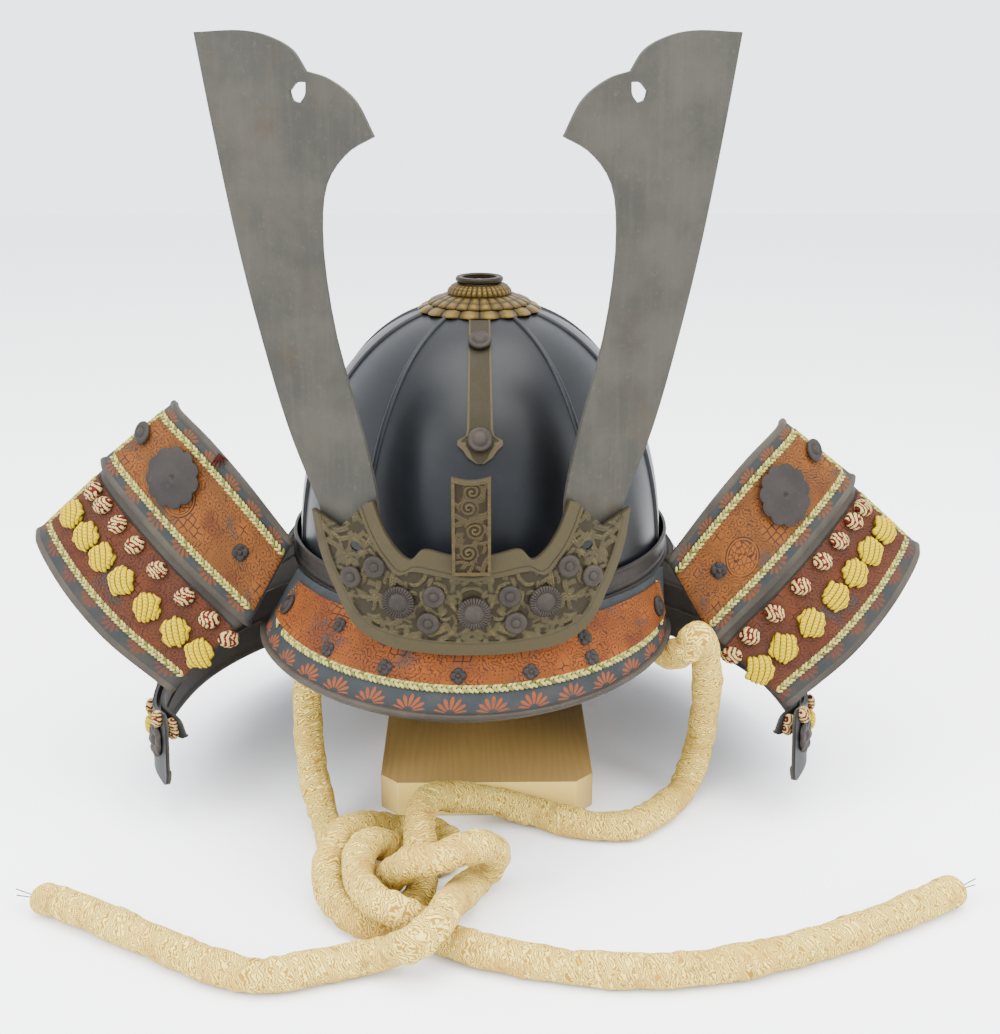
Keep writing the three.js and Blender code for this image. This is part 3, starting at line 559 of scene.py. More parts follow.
# Two lobed stitches side by side, again and again, along lines on a surface.
def plaitOn(name, lines, surface, width, pitch, lift, nodes=()):
    bm = bmesh.new()
    uvLayer = bm.loops.layers.uv.new("UVMap")
    for line in lines:
        uv = np.array(line)
        t = np.linspace(0, 1, 400)
        knots = np.linspace(0, 1, len(uv))
        u, v = np.interp(t, knots, uv[:, 0]), np.interp(t, knots, uv[:, 1])
        point, normal = surface(u, v), normalsOf(surface, u, v)
        run = runOf(point)
        for i in range(int(run[-1] / pitch)):
            at = [np.interp((i + 0.5) * pitch, run, point[:, k]) for k in range(3)]
            ahead = [np.interp((i + 0.9) * pitch, run, point[:, k]) for k in range(3)]
            up = Vector([np.interp((i + 0.5) * pitch, run, normal[:, k]) for k in range(3)]).normalized()
            forward = (Vector(ahead) - Vector(at)).normalized()
            aside = up.cross(forward).normalized()
            frameOf = Matrix((forward, aside, up)).transposed().to_4x4()
            for sign in (-1, 1):
                middle = Vector(at) + aside * sign * width * 0.24 + up * lift
                place = Matrix.Translation(middle) @ frameOf @ Matrix.Rotation(sign * -0.6, 4, "Z")
                place = place @ Matrix.Diagonal((pitch * 0.95, width * 0.24, width * 0.2, 1))
                made = bmesh.ops.create_icosphere(bm, subdivisions=1, radius=1, matrix=place)["verts"]
                darker = (i % 3) == (0 if sign > 0 else 1)          # every third stitch is the dark thread
                shade = 0.15 + 0.75 * darker * random.uniform(0.5, 1)
                for face in {face for vert in made for face in vert.link_faces}:
                    for loop in face.loops:
                        loop[uvLayer].uv = (shade, 0)
    return madePiece(bm, name, "braid", nodes, 80)


cordRoutes = {
    "chin_cord_left": [
        [-94, -30, 136], [-98, -47, 86], [-100, -54, 69], [-99, -62, 50], [-95, -74, 27], [-88, -89, 11],
        [-81, -112, 8], [-72, -130, 8], [-61, -141, 8], [-51, -152, 13], [-41, -165, 27], [-33, -176, 38],
        [-22, -178, 41], [-11, -169, 40], [-1, -159, 36], [6, -148, 27], [5, -144, 16], [-2, -146, 9],
        [-10, -164, 12], [-16, -192, 24], [-23, -214, 27], [-32, -220, 22], [-46, -214, 12], [-64, -215, 8],
        [-87, -222, 8], [-105, -226, 8], [-128, -218, 8], [-158, -200, 8], [-217, -164, 8], [-232, -158, 8],
    ],
    "chin_cord_right": [
        [95, -30, 95], [107, -53, 96], [115, -68, 106], [120, -71, 115], [125, -65, 107], [129, -57, 82],
        [130, -47, 54], [128, -42, 27], [120, -51, 10], [107, -70, 8], [83, -92, 8], [56, -90, 8],
        [28, -78, 10], [5, -77, 16], [-15, -85, 23], [-28, -97, 29], [-33, -114, 31], [-33, -130, 29],
        [-32, -141, 22], [-31, -150, 12], [-33, -163, 8], [-40, -175, 8], [-51, -183, 8],
        [-62, -181, 8], [-72, -172, 9], [-79, -159, 13], [-80, -145, 21],
        [-76, -132, 26], [-69, -119, 24], [-60, -104, 15], [-47, -95, 8], [-32, -96, 8], [-22, -102, 8],
        [-17, -114, 8], [-23, -126, 8], [-32, -127, 8], [-42, -124, 10], [-52, -128, 19], [-60, -139, 26],
        [-64, -155, 26], [-63, -169, 25], [-58, -181, 24], [-49, -192, 24], [-40, -196, 22], [-31, -191, 12],
        [-21, -196, 8], [-4, -206, 8], [23, -216, 8], [56, -223, 8], [94, -224, 8], [133, -216, 8],
        [176, -199, 8], [250, -157, 8],
    ],
}
cordSettings = {"diameter": 16.8, "sides": 32, "step": 1.0, "swell": 0.06, "lump": 0.055, "wrinkle": 0.06,
                "seam": 0.9, "seamLength": 190, "floor": 0.25}


def makeCord(name, route):
    path = splineThrough(route)
    t = np.linspace(0, 1, 3000)
    line = path(t)
    run = runOf(line)
    total = run[-1]
    rings = int(total / cordSettings["step"])
    at = np.linspace(0, total, rings + 1)
    centre = np.stack([np.interp(at, run, line[:, k]) for k in range(3)], axis=1)
    ahead = np.gradient(centre, axis=0)
    ahead /= np.linalg.norm(ahead, axis=1, keepdims=True)
    sideways = [np.cross(ahead[0], (0.3, 1, 0.2))]
    for i in range(1, rings + 1):                     # carry the section along without twist
        previous = sideways[-1] - ahead[i] * np.dot(sideways[-1], ahead[i])
        sideways.append(previous / np.linalg.norm(previous))
    sideways[0] = sideways[0] / np.linalg.norm(sideways[0])
    sideways = np.array(sideways)
    upwards = np.cross(ahead, sideways)
    bend = np.linalg.norm(np.gradient(ahead, at, axis=0), axis=1)
    bm = bmesh.new()
    uvLayer = bm.loops.layers.uv.new("UVMap")
    sides, thick = cordSettings["sides"], cordSettings["diameter"]
    grid = bmesh.ops.create_grid(bm, x_segments=sides, y_segments=rings, size=0.5)["verts"]
    phase = 1.7 if name.endswith("left") else 4.1
    for vert in grid:
        angle = (vert.co.x + 0.5) * math.tau
        i = round((vert.co.y + 0.5) * rings)
        s = at[i]
        swell = math.sin(s / 9.5 + phase) * 0.5 + math.sin(s / 5.3 + 2 * phase) * 0.5
        wrinkle = math.sin(s / 1.55 + 1.4 * math.sin(angle + s / 31) + phase)
        wrinkle *= 0.5 + 0.5 * math.sin(s / 7.7 + angle)
        pinch = min(1, bend[i] * 22) * 0.7 + 0.45
        ending = min(s, total - s) / (thick * 0.5)
        closing = math.sqrt(max(1 - (1 - min(ending, 1)) ** 2, 0.0))
        lump = math.sin(angle * 2 + s / 6.1 + phase) * math.sin(s / 8.3 - angle + 2 * phase)
        size = 1 + cordSettings["swell"] * swell + cordSettings["lump"] * lump
        size += cordSettings["wrinkle"] * wrinkle * pinch
        radius = thick / 2 * size * (0.12 + 0.88 * closing)
        spot = centre[i] + (sideways[i] * math.cos(angle) + upwards[i] * math.sin(angle)) * radius
        if name.endswith("left") and s < cordSettings["seamLength"]:   # seam down the hanging part
            beside = max(0.0, 1 - abs(math.remainder(angle - 0.4, math.tau)) / 0.2)
            stitched = cordSettings["seam"] * beside * (0.75 + 0.25 * math.sin(s / 0.55))
            spot += (sideways[i] * math.cos(angle) + upwards[i] * math.sin(angle)) * stitched
        spot[2] = max(spot[2], cordSettings["floor"])
        vert.co = spot
        for loop in vert.link_loops:
            loop[uvLayer].uv = (angle * thick / 2000, s / 1000)
    bmesh.ops.remove_doubles(bm, verts=bm.verts, dist=1e-4)
    ends = [edge for edge in bm.edges if edge.is_boundary]
    bmesh.ops.holes_fill(bm, edges=ends, sides=0)
    bmesh.ops.recalc_face_normals(bm, faces=bm.faces)
    piece = madePiece(bm, name + "_padded", "cord", (name,), 80)
    route = centre / 1000 + np.array([0, axisShift / 1000, 0])
    path = [list(p) for p in route[::8]] + [list(route[-1])]
    print(name, "is", round(total), "mm long")


for cordName, cordRoute in cordRoutes.items():
    makeCord(cordName, cordRoute)
print("cords laid")

bowl = {"halfWidth": 105, "halfDepth": 115, "base": 147, "height": 142, "wall": 2.5, "hole": 9.5, "ribs": 10,
        "fullness": 2.2, "ribRise": 1.5, "ribWidth": 3.4}
depthScale = bowl["halfDepth"] / bowl["halfWidth"]


def bowlHeight(radius, inset=0.0):
    reach = 1 - (radius / (bowl["halfWidth"] - inset)) ** bowl["fullness"]
    return bowl["base"] + (bowl["height"] - inset) * np.maximum(reach, 0) ** (1 / bowl["fullness"])


def bowlRadius(height):
    reach = 1 - ((height - bowl["base"]) / bowl["height"]) ** bowl["fullness"]
    return bowl["halfWidth"] * np.maximum(reach, 0) ** (1 / bowl["fullness"])


def bowlProfile(inset, rows):
    reach = bowl["halfWidth"] - inset
    last = math.acos((bowl["hole"] / reach) ** (bowl["fullness"] / 2))
    radii = [reach * math.cos(last * i / rows) ** (2 / bowl["fullness"]) for i in range(rows + 1)]
    return [(radius, float(bowlHeight(radius, inset))) for radius in radii]


def ribSurface(turn):
    def at(u, v):
        last = math.acos((bowl["hole"] / bowl["halfWidth"]) ** (bowl["fullness"] / 2))
        radius = bowl["halfWidth"] * np.cos(last * np.asarray(v, float)) ** (2 / bowl["fullness"])
        aside = (np.asarray(u, float) - 0.5) * bowl["ribWidth"]
        x, y = radius * math.cos(turn), radius * depthScale * math.sin(turn)
        across = Vector((-math.sin(turn), math.cos(turn) * depthScale)).normalized()
        return stack(x + aside * across.x, y + aside * across.y, bowlHeight(radius))
    return at


# A turned form drawn out to the bowl's oval.
def ovalPiece(name, rows, steps, finish, node, flatAngle):
    bm = bmesh.new()
    spun(bm, rows, steps)
    bmesh.ops.scale(bm, verts=bm.verts, vec=(1, depthScale, 1))
    madePiece(bm, name, finish, (node,), flatAngle)


def ribHump(u, v):
    return 0.05 + bowl["ribRise"] * np.sin(np.pi * np.clip(u, 0, 1)) ** 0.6


outerRows, innerRows = bowlProfile(0, 40), bowlProfile(bowl["wall"], 24)[::-1]
ovalPiece("bowl_shell", outerRows + innerRows + outerRows[:1], 160, "lacquer", "bowl", 50)
bm = bmesh.new()
for i in range(1, bowl["ribs"]):
    turn = math.tau * i / bowl["ribs"] - math.pi / 2
    wallOn(bm, ribSurface(turn), (0, 1), (0.0, 0.97), -0.6, ribHump, (8, 50))
bmesh.ops.recalc_face_normals(bm, faces=bm.faces)
madePiece(bm, "bowl_ribs", "lacquer", (), 60)

band = {"inside": bowl["halfWidth"] + 2.3, "flange": 99, "steps": 140}
bandRows = [  # distance out from the inside of the band, and height
    (1.3, 147.8), (2, 149), (2, 150.4), (1.1, 151.2), (1.1, 158), (1.8, 158.8), (1.6, 160), (0, 160.2),
    (0, 146.6)]
bandRows = [(band["inside"] + out, height) for out, height in bandRows]
bandRows = [(band["flange"], 144.4), (109, 144.4), (109.6, 147)] + bandRows
bandRows += [(band["flange"], 146.6), (band["flange"], 144.4)]
ovalPiece("foot_band", bandRows, band["steps"], "darkIron", "base_band", 38)

# each tier: the line of its underside, then the line of its top, as radius and height
crownTiers = [
    {"node": "crown_flange", "lobes": 18, "scallop": 0.05, "groove": 0.7, "rows": 0, "from": 26,
     "under": [(12, 289.4), (24, 287.6), (30, 286.4), (34.8, 285.1)],
     "top": [(34.8, 286), (32.5, 287.3), (29.5, 288.4), (24, 289.2), (12, 290.9)]},
    {"node": "crown_petals_lower", "lobes": 26, "scallop": 0.03, "groove": 0.6, "rows": 2, "from": 18,
     "under": [(12, 291.3), (24, 289.6), (29, 288.8)],
     "top": [(29.3, 289.7), (26, 291.2), (22, 292.6), (18.6, 293.7), (12, 294.3)]},
    {"node": "crown_petals_upper", "lobes": 36, "scallop": 0.02, "groove": 0.55, "rows": 3, "from": 13.5,
     "under": [(10.5, 294.8), (18, 294.2)],
     "top": [(18.4, 295), (17.6, 296.4), (16.4, 297.8), (15, 298.9), (13, 299.5), (10.5, 299.7)]},
]


def fineLine(points, step=0.35):
    rows = []
    for (r0, z0), (r1, z1) in zip(points, points[1:]):
        count = max(1, round(math.hypot(r1 - r0, z1 - z0) / step))
        rows += [(r0 + (r1 - r0) * i / count, z0 + (z1 - z0) * i / count) for i in range(count)]
    return rows + [points[-1]]


# How far out a place on a tier lies, and how near to a petal's middle line and to a bead's middle.
def onTier(tier, angle, r):
    share = max(0.0, (r - tier["from"]) / (tier["top"][0][0] - tier["from"]))
    lobe = abs(math.cos(tier["lobes"] * angle / 2))
    beads = abs(math.sin(share * tier["rows"] * math.pi)) ** 0.5 if tier["rows"] else 1
    return share, lobe, beads


for tier in crownTiers:
    underRadii, underHeights = zip(*sorted(tier["under"]))

    def petalShape(angle, r, z):
        share, lobe, beads = onTier(tier, angle, r)
        onTop = min(1, max(0, (z - float(np.interp(r, underRadii, underHeights))) / 0.6)) * (share > 0)
        groove = tier["groove"] * (1 - lobe ** 0.6 * beads) * onTop
        return r * (1 - tier["scallop"] * (1 - lobe) * share ** 2) - groove * 0.6, z - groove * 0.6
    bm = bmesh.new()
    shade = reliefLayerOf(bm)
    outline = fineLine(tier["under"], 2) + fineLine(tier["top"]) + [tier["under"][0]]
    for vert in spun(bm, outline, tier["lobes"] * 10, petalShape):
        share, lobe, beads = onTier(tier, math.atan2(vert.co.y, vert.co.x), math.hypot(vert.co.x, vert.co.y))
        vert[shade] = lobe ** 0.8 * beads if share > 0 else 0.3
    madePiece(bm, tier["node"] + "_chased", "gilt", (tier["node"],), 60)
rimFoot = float(bowlHeight(10)) + 11.6
rimRows = [(9.5, 0), (12.5, 0), (13.3, 0.8), (13.4, 2), (12.6, 3), (10.6, 3.1), (9.5, 2.4), (9.5, 0)]
rimRows = [(radius, rimFoot + height) for radius, height in rimRows]
turnedPiece("crown_rim_rolled", rimRows, 72, "goldRelief", ("crown_rim",))
print("bowl and crown done")

strapForm = {"top": 283.8, "low": 222.8, "thick": 1.2, "edge": 0.6}
strapTable = {"at": [0, 0.74, 0.79, 0.825, 0.86, 0.9, 0.95, 1],
              "half": [5.6, 6.6, 7.2, 11.4, 11.6, 8.6, 6.4, 1.6]}


def strapFace(u, v):
    height = strapForm["top"] + (strapForm["low"] - strapForm["top"]) * np.asarray(v, float)
    radius = bowlRadius(height)
    x = (1 - np.asarray(u, float) * 2) * np.interp(v, strapTable["at"], strapTable["half"])
    return stack(x, -depthScale * np.sqrt(radius ** 2 - x ** 2), height)


def strapLevel(u, v):
    edge = np.abs(u - 0.5) * 2
    return np.where((edge > 0.84) | ((v > 0.84) & (edge > 0.66)), 0.62, 0.12)


def strapTop(u, v):
    return strapForm["thick"] + strapForm["edge"] * strapLevel(u, v)


sheetOn("strap_raised", strapFace, (0, 1), (0, 1), 0.4, strapTop, (30, 110), "bronze",
        ("front_strap",), strapLevel)


# A boss with a hollow round its raised middle; centre is the middle's share of the radius.
def flowerRows(radius, height, centre):
    shares = [(0, 0), (0.96, 0), (1, 0.3), (0.94, 0.62), (0.75, 0.85), (centre + 0.12, 0.78),
              (centre + 0.03, 0.62), (centre, 0.72), (centre * 0.7, 1.05), (centre * 0.3, 1.22), (0, 1.25)]
    return [(radius * out, height * up) for out, up in shares]


def petalWarp(radius, petals, centre, depth, rim):
    def warp(angle, r, z):
        share = (r / radius - centre) / (1 - centre)
        if share <= 0.08 or z <= 1e-4:
            return r, z
        lobe = abs(math.cos(petals * angle / 2))
        return r * (1 - rim * (1 - lobe) * share), z * (1 - depth * (1 - lobe ** 0.7) * min(1, share * 3))
    return warp


def flowerPiece(name, node, place, radius, height, petals, centre, finish, depth, rim):
    rows, steps = flowerRows(radius, height, centre), max(petals * 8, 40)
    warp = petalWarp(radius, petals, centre, depth, rim)
    return turnedPiece(name, rows, steps, finish, (node,), warp, place, 60)


bossRows = [(0, 0), (6.1, 0), (6.4, 0.8), (6.2, 1.5), (5.3, 2), (4.4, 1.6), (3.9, 1.7), (3.3, 2.5), (2.2, 3),
            (1, 3.2), (0, 3.2)]
for node, v in (("strap_boss_upper", 0.136), ("strap_boss_lower", 0.821)):
    place = seatOn(strapFace, 0.5, v, 2.4)
    turnedPiece(node + "_turned", bossRows, 56, "iron", (node,), None, place, 60)

# inner and outer edge of the visor: spread in degrees, half width, depth, height and shift of each
visorInner = {"spread": 66, "across": 111, "forward": 121.5, "height": 147.5}
visorOuter = {"spread": 92, "across": 114, "aside": -9, "forward": 105, "back": -43, "height": 101, "lift": 9}
visorSettings = {"face": 1.9, "leather": (0.1, 0.655), "braid": (0.12, 0.685), "endIn": 0.05,
                 "rim": (0.925, 1.0), "star": 4.3}


def visorFace(u, v):
    side = 1 - np.asarray(u, float) * 2
    inner, outer = np.radians(visorInner["spread"] * side), np.radians(visorOuter["spread"] * side)
    start = stack(visorInner["across"] * np.sin(inner), -visorInner["forward"] * np.cos(inner),
                  visorInner["height"])
    end = stack(visorOuter["across"] * np.sin(outer) + visorOuter["aside"],
                visorOuter["back"] - visorOuter["forward"] * np.cos(outer),
                visorOuter["height"] + visorOuter["lift"] * np.sin(outer) ** 2)
    w = np.asarray(v, float)[..., None]
    return start * (1 - w) + end * w


def outside(u, v):
    return np.ones(len(u))


def visorRimTop(u, v):
    return 1.2 + 2.4 * np.sqrt(np.clip(1 - (2 * (v - 0.9625) / 0.075) ** 2, 0, 1))


onVisor = visorSettings["face"]
visorFeet = [(float(depthAt(visorFace, 0.5, 0.93)), -1)]
finishes["visorBorder"] = fanBorderFinish("visorBorder", 0.0188, visorFeet, 0.0095, tone(88, 94, 98),
                                          tone(190, 98, 48, 0.25))
sheetOn("visor_board", visorFace, (0, 1), (0, 1), -1.1, 1.1, (120, 12), "visorBorder",
        ("visor_plate",))
sheetOn("visor_print", visorFace, (0.045, 0.955), visorSettings["leather"], onVisor - 0.7, onVisor + 0.6,
        (110, 10), "leather", ("visor_leather",))
sheetOn("visor_rim_rolled", visorFace, (0.0, 1.0), visorSettings["rim"], 1.0, visorRimTop, (120, 8),
        "lame", ("visor_rim",), outside, 60)
(braidIn, braidOut), braidEnd = visorSettings["braid"], visorSettings["endIn"]
roundEnd = [[braidEnd + 0.012, braidIn], [braidEnd, 0.3], [braidEnd, 0.5], [braidEnd + 0.014, 0.62],
            [braidEnd + 0.04, braidOut]]
otherEnd = [[1 - u, v] for u, v in roundEnd[::-1]]
middleLine = [[u, braidOut] for u in np.linspace(braidEnd + 0.06, 1 - braidEnd - 0.06, 40)]
plaitOn("visor_braid_plait", [roundEnd, middleLine, otherEnd], visorFace, 4.4, 2.5, onVisor - 0.2,
        ("visor_braid",))


# A rivet head of four petals; the node is left out where the solids have none.
def starPiece(name, nodes, place, radius, height, rim):
    warp = petalWarp(radius, 4, 0.3, 0.5, rim)
    turnedPiece(name, flowerRows(radius, height, 0.3), 48, "darkIron", nodes, warp, place, 60)


rivetPlaces = [(0.765, 0.3), (0.755, 0.57), (0.64, 0.57), (0.52, 0.57), (0.405, 0.57), (0.295, 0.57),
               (0.3, 0.34)]
for i, (u, v) in enumerate(rivetPlaces):
    place = seatOn(visorFace, u, v, onVisor + 0.6)
    starPiece(f"visor_star_{i + 1}", (f"visor_rivet_{i + 1}",), place, visorSettings["star"], 1.7, 0.35)
for node, u in (("visor_boss_left", 0.925), ("visor_boss_right", 0.085)):
    place = seatOn(visorFace, u, 0.42, onVisor + 0.6) @ Matrix.Diagonal((1, 0.82, 1, 1))
    flowerPiece(node + "_turned", node, place, 6.4, 2.6, 3, 0.5, "darkIron", 0.0, 0.0)
print("visor done")

crestShift = -4.5
crescentRows = {"lowX": [79, 75.5, 68, 59, 45, 22, 0], "lowZ": [203.5, 182, 162, 145, 136.5, 133.5, 133],
                "highX": [48, 42.5, 35.5, 30, 24, 12, 0], "highZ": [212, 197, 186.5, 183, 188.5, 186.5, 184]}
crescentForm = {"radius": 144, "centreY": 10, "field": 1.9, "edge": 3.2}


def crescentLine(xKey, zKey):
    rows = [[-x, 0, z] for x, z in zip(crescentRows[xKey], crescentRows[zKey])]
    return splineThrough(rows + [[-x, 0, z] for x, _, z in rows[-2::-1]])


crescentLow, crescentHigh = crescentLine("lowX", "lowZ"), crescentLine("highX", "highZ")


def onCrescent(x, z):
    y = crescentForm["centreY"] - np.sqrt(crescentForm["radius"] ** 2 - np.asarray(x) ** 2)
    return stack(x + crestShift, y, z)


def crescentFace(u, v):
    u, v = np.asarray(u, float), np.asarray(v, float)
    point = crescentLow(u) * (1 - v[..., None]) + crescentHigh(u) * v[..., None]
    fromTip = np.minimum(u, 1 - u) * 14
    notch = np.maximum(0, 1 - np.abs(v - 0.45) / 0.45) * np.maximum(0, 1 - fromTip)
    return onCrescent(point[..., 0], point[..., 2] - 11 * notch)


leafSettings = {"length": (5.5, 10), "width": (1.9, 3.1), "rise": 1.5}


def leafLevel(x, z, seed, reach, count, middle):
    rng = random.Random(seed)
    level = np.zeros_like(x)
    for _ in range(count):
        cx, cz = rng.uniform(*reach[0]), rng.uniform(*reach[1])
        length, width = rng.uniform(*leafSettings["length"]), rng.uniform(*leafSettings["width"])
        turn = math.atan2(cz - middle, cx) + rng.choice((-1, 1)) * rng.uniform(0.3, 1.2)
        bow = rng.choice((-1, 1)) * rng.uniform(0.6, 1.1)
        along = ((x - cx) * math.cos(turn) + (z - cz) * math.sin(turn)) / (length / 2)
        across = (-(x - cx) * math.sin(turn) + (z - cz) * math.cos(turn) + bow * along ** 2) / (width / 2)
        body = np.clip(1 - along ** 2, 0, 1) ** 0.5 * np.clip(1 - across ** 2, 0, 1) ** 0.5
        veins = 1 - 0.3 * (np.abs(across) < 0.2) - 0.2 * (np.cos(along * 14 + np.abs(across) * 5) > 0.55)
        level = np.maximum(level, body * veins * rng.uniform(0.7, 1))
    return level


def crescentLevel(u, v):
    face = crescentFace(u, v)
    x, z = face[..., 0] - crestShift, face[..., 2]
    field = leafLevel(np.abs(x), z, 5, ((0, 80), (132, 212)), 330, 190)
    inField = np.clip((v - 0.13) * 40, 0, 1) * np.clip((0.79 - v) * 40, 0, 1)
    groove = 1 - 0.8 * np.exp(-((v - 0.83) / 0.008) ** 2) - 0.6 * np.exp(-((v - 0.115) / 0.008) ** 2)
    return np.where(inField > 0.5, 0.12 + field * 0.85, 0.55 * groove), inField


def crescentTop(u, v):
    level, inField = crescentLevel(u, v)
    raised = crescentForm["field"] + leafSettings["rise"] * level
    return np.where(inField > 0.5, raised, crescentForm["edge"] - 0.9 * (0.55 - level))


bm = bmesh.new()
wallOn(bm, crescentFace, (0, 1), (0, 1), 0, crescentTop, (420, 110), lambda u, v: crescentLevel(u, v)[0])
holeSettings = {"x": 58, "z": 187.5, "half": 2.8, "near": 4.5}
for side in (-1, 1):
    spot = Vector(onCrescent(np.array([side * holeSettings["x"]]), np.array([holeSettings["z"]]))[0])
    through = []
    for face in bm.faces:
        off = face.calc_center_median() - spot
        if off.length < holeSettings["near"] and math.hypot(off.x, off.z) < holeSettings["half"]:
            through.append(face)
    edges = {edge for face in through for edge in face.edges
             if any(other not in through for other in edge.link_faces)}
    bmesh.ops.delete(bm, geom=through, context="FACES")
    bmesh.ops.bridge_loops(bm, edges=[edge for edge in edges if edge.is_valid])
bmesh.ops.recalc_face_normals(bm, faces=bm.faces)
madePiece(bm, "crescent_chased", "bronze", ("crescent",), 50)


def crescentSeat(x, z, lift):
    point = Vector(onCrescent(np.array([float(x)]), np.array([float(z)]))[0])
    normal = Vector((x, point.y - crescentForm["centreY"], 0)).normalized()
    turn = Vector((0, 0, 1)).rotation_difference(normal).to_matrix().to_4x4()
    return Matrix.Translation(point + normal * lift) @ turn


flower = {"radius": 8.6, "height": 2.7, "petals": 32, "centre": 0.55, "lift": 3.3}
for node, x, z in (("flower_left", -36, 160.5), ("flower_middle", 1, 156), ("flower_right", 36, 160.5)):
    place = crescentSeat(x, z, flower["lift"])
    flowerPiece(node + "_chased", node, place, flower["radius"], flower["height"], flower["petals"],
                flower["centre"], "iron", 0.3, 0.03)
budRows = [(0, 0), (5.7, 0), (5.9, 0.9), (5.4, 1.8), (4.3, 2.2), (3.1, 1.7), (2.4, 1.5), (2.0, 2.1),
           (1.1, 2.5), (0, 2.6)]
for i, (x, z) in enumerate([(59.5, 171), (47.5, 178), (18.5, 164.5), (21.5, 150)]):
    for word, side in (("left", -1), ("right", 1)):
        node, place = f"bud_{word}_{i + 1}", crescentSeat(side * x, z, 3.0)
        turnedPiece(node + "_turned", budRows, 48, "iron", (node,), None, place, 60)

socket = {"half": 9.6, "low": 178, "high": 228, "face": -137.6, "thick": 4.2, "relief": 1.3}


def socketFace(u, v):
    x = (np.asarray(u, float) * 2 - 1) * socket["half"]
    top = socket["high"] - 2 * (1 - (x / socket["half"]) ** 2)
    z = socket["low"] + np.asarray(v, float) * (top - socket["low"])
    return stack(x + crestShift, np.full_like(x, socket["face"]), z)


def socketLevel(u, v):
    edge = np.minimum(np.minimum(u, 1 - u) * 19.2, np.minimum(v, 1 - v) * 50)
    x, z = (u * 2 - 1) * socket["half"], v * 50
    level = leafLevel(x, z, 11, ((-8, 8), (2, 48)), 46, 25) * 0.75
    for cx, cz, way in ((-1.5, 12, 1), (1.8, 24, -1), (-1.2, 36, 1), (0.5, 44.5, -1)):
        away, turn = np.hypot(x - cx, z - cz), np.arctan2(z - cz, x - cx)
        coil = np.clip(1 - away / 5.2, 0, 1) ** 0.4 * (0.55 + 0.45 * np.cos(away * 2.6 + turn * way))
        level = np.maximum(level * (away > 4.4), coil * 0.9)
    return np.where(edge < 1.7, 0.7, np.clip(level, 0.05, 1))


def socketTop(u, v):
    return socket["thick"] + socket["relief"] * socketLevel(u, v)


sheetOn("socket_plate_chased", socketFace, (0, 1), (0, 1), 0, socketTop, (84, 210), "goldRelief",
        ("socket_plate",), socketLevel, 60)

# outlines as rows of distance out and height, one row from corner to corner
hornPlane = {"x": 66, "y": -118, "toe": 25, "wall": 2.2, "behind": 2.4}
hornRows = [
    [(46, 192), (76, 192), (79.4, 204)],
    [(79.4, 204), (95.5, 242.5), (110, 292), (120.5, 336), (130.5, 388), (138, 431.7)],
    [(138, 431.7), (111.3, 432.4), (97.5, 430), (84.5, 424), (77.3, 414.5)],
    [(77.3, 414.5), (66, 411.4), (52.5, 402.5), (42.5, 386)],
    [(42.5, 386), (57, 378.4), (68.5, 364.5), (72.2, 340), (67.2, 295), (52.5, 242), (46, 212), (46, 192)],
]
heartRows = [
    [(77.5, 409.5), (82.5, 409.3), (86.5, 405.5)],
    [(86.5, 405.5), (85, 401.5), (81, 400.3)],
    [(81, 400.3), (78, 404), (77.5, 409.5)],
]


def outlinePoints(rows, steps):
    points = []
    for row in rows:
        line = splineThrough([[a, 0, z] for a, z in row])
        points += [line(np.array([t]))[0] for t in np.linspace(0, 1, steps, endpoint=False)]
    return points


hornOutline, heart = outlinePoints(hornRows, 24), outlinePoints(heartRows, 6)
for word, side in (("left", -1), ("right", 1)):
    bm = bmesh.new()
    edges = []
    for loop in (hornOutline, heart):
        verts = [bm.verts.new((a - hornPlane["x"], 0, z)) for a, _, z in loop]
        edges += [bm.edges.new((verts[i], verts[(i + 1) % len(verts)])) for i in range(len(verts))]
    bmesh.ops.triangle_fill(bm, edges=edges, use_beauty=True, use_dissolve=False)
    made = bmesh.ops.extrude_face_region(bm, geom=bm.faces[:])["geom"]
    verts = [item for item in made if isinstance(item, bmesh.types.BMVert)]
    bmesh.ops.translate(bm, verts=verts, vec=(0, hornPlane["wall"], 0))
    bmesh.ops.translate(bm, verts=bm.verts, vec=(0, hornPlane["behind"], 0))
    toe = Matrix.Rotation(math.radians(hornPlane["toe"]), 3, "Z")
    bmesh.ops.rotate(bm, verts=bm.verts, cent=(0, 0, 0), matrix=toe)
    bmesh.ops.translate(bm, verts=bm.verts, vec=(hornPlane["x"], hornPlane["y"], 0))
    bmesh.ops.scale(bm, verts=bm.verts, vec=(side, 1, 1))
    bmesh.ops.translate(bm, verts=bm.verts, vec=(crestShift, 0, 0))
    bmesh.ops.recalc_face_normals(bm, faces=bm.faces)
    horn = madePiece(bm, f"horn_{word}_plate", "horn", (f"horn_{word}",), 30)
    softEdge = horn.modifiers.new("softEdge", "BEVEL")
    softEdge.width, softEdge.segments, softEdge.limit_method = 0.0005, 2, "ANGLE"
print("crest done")

# edges of the two upper lames from the top down; fold and tip are where a wing starts and ends
lameEdges = [
    {"halfWidth": 112, "front": 148, "back": 122, "height": 149,
     "fold": (106, -44, 157), "tip": (176.5, 0, 226), "arch": 6},
    {"halfWidth": 137, "front": 215, "back": 150, "height": 110,
     "fold": (132.5, -55, 110), "tip": (224, 5, 188.5), "arch": 0},
    {"halfWidth": 183, "front": 236, "back": 180, "height": 72.5,
     "fold": (177, -60, 72.5), "tip": (267.5, 10, 143.5), "arch": -5.5},
]
wingShares = [1, 0.93, 0.66, 0.36, 0.1]
wingForm = {"lift": 6, "bulge": 9, "tipIn": 5, "settle": 0.5}  # the left wing is higher by twice the lift
neckAngles = [0, 22, 45, 68]


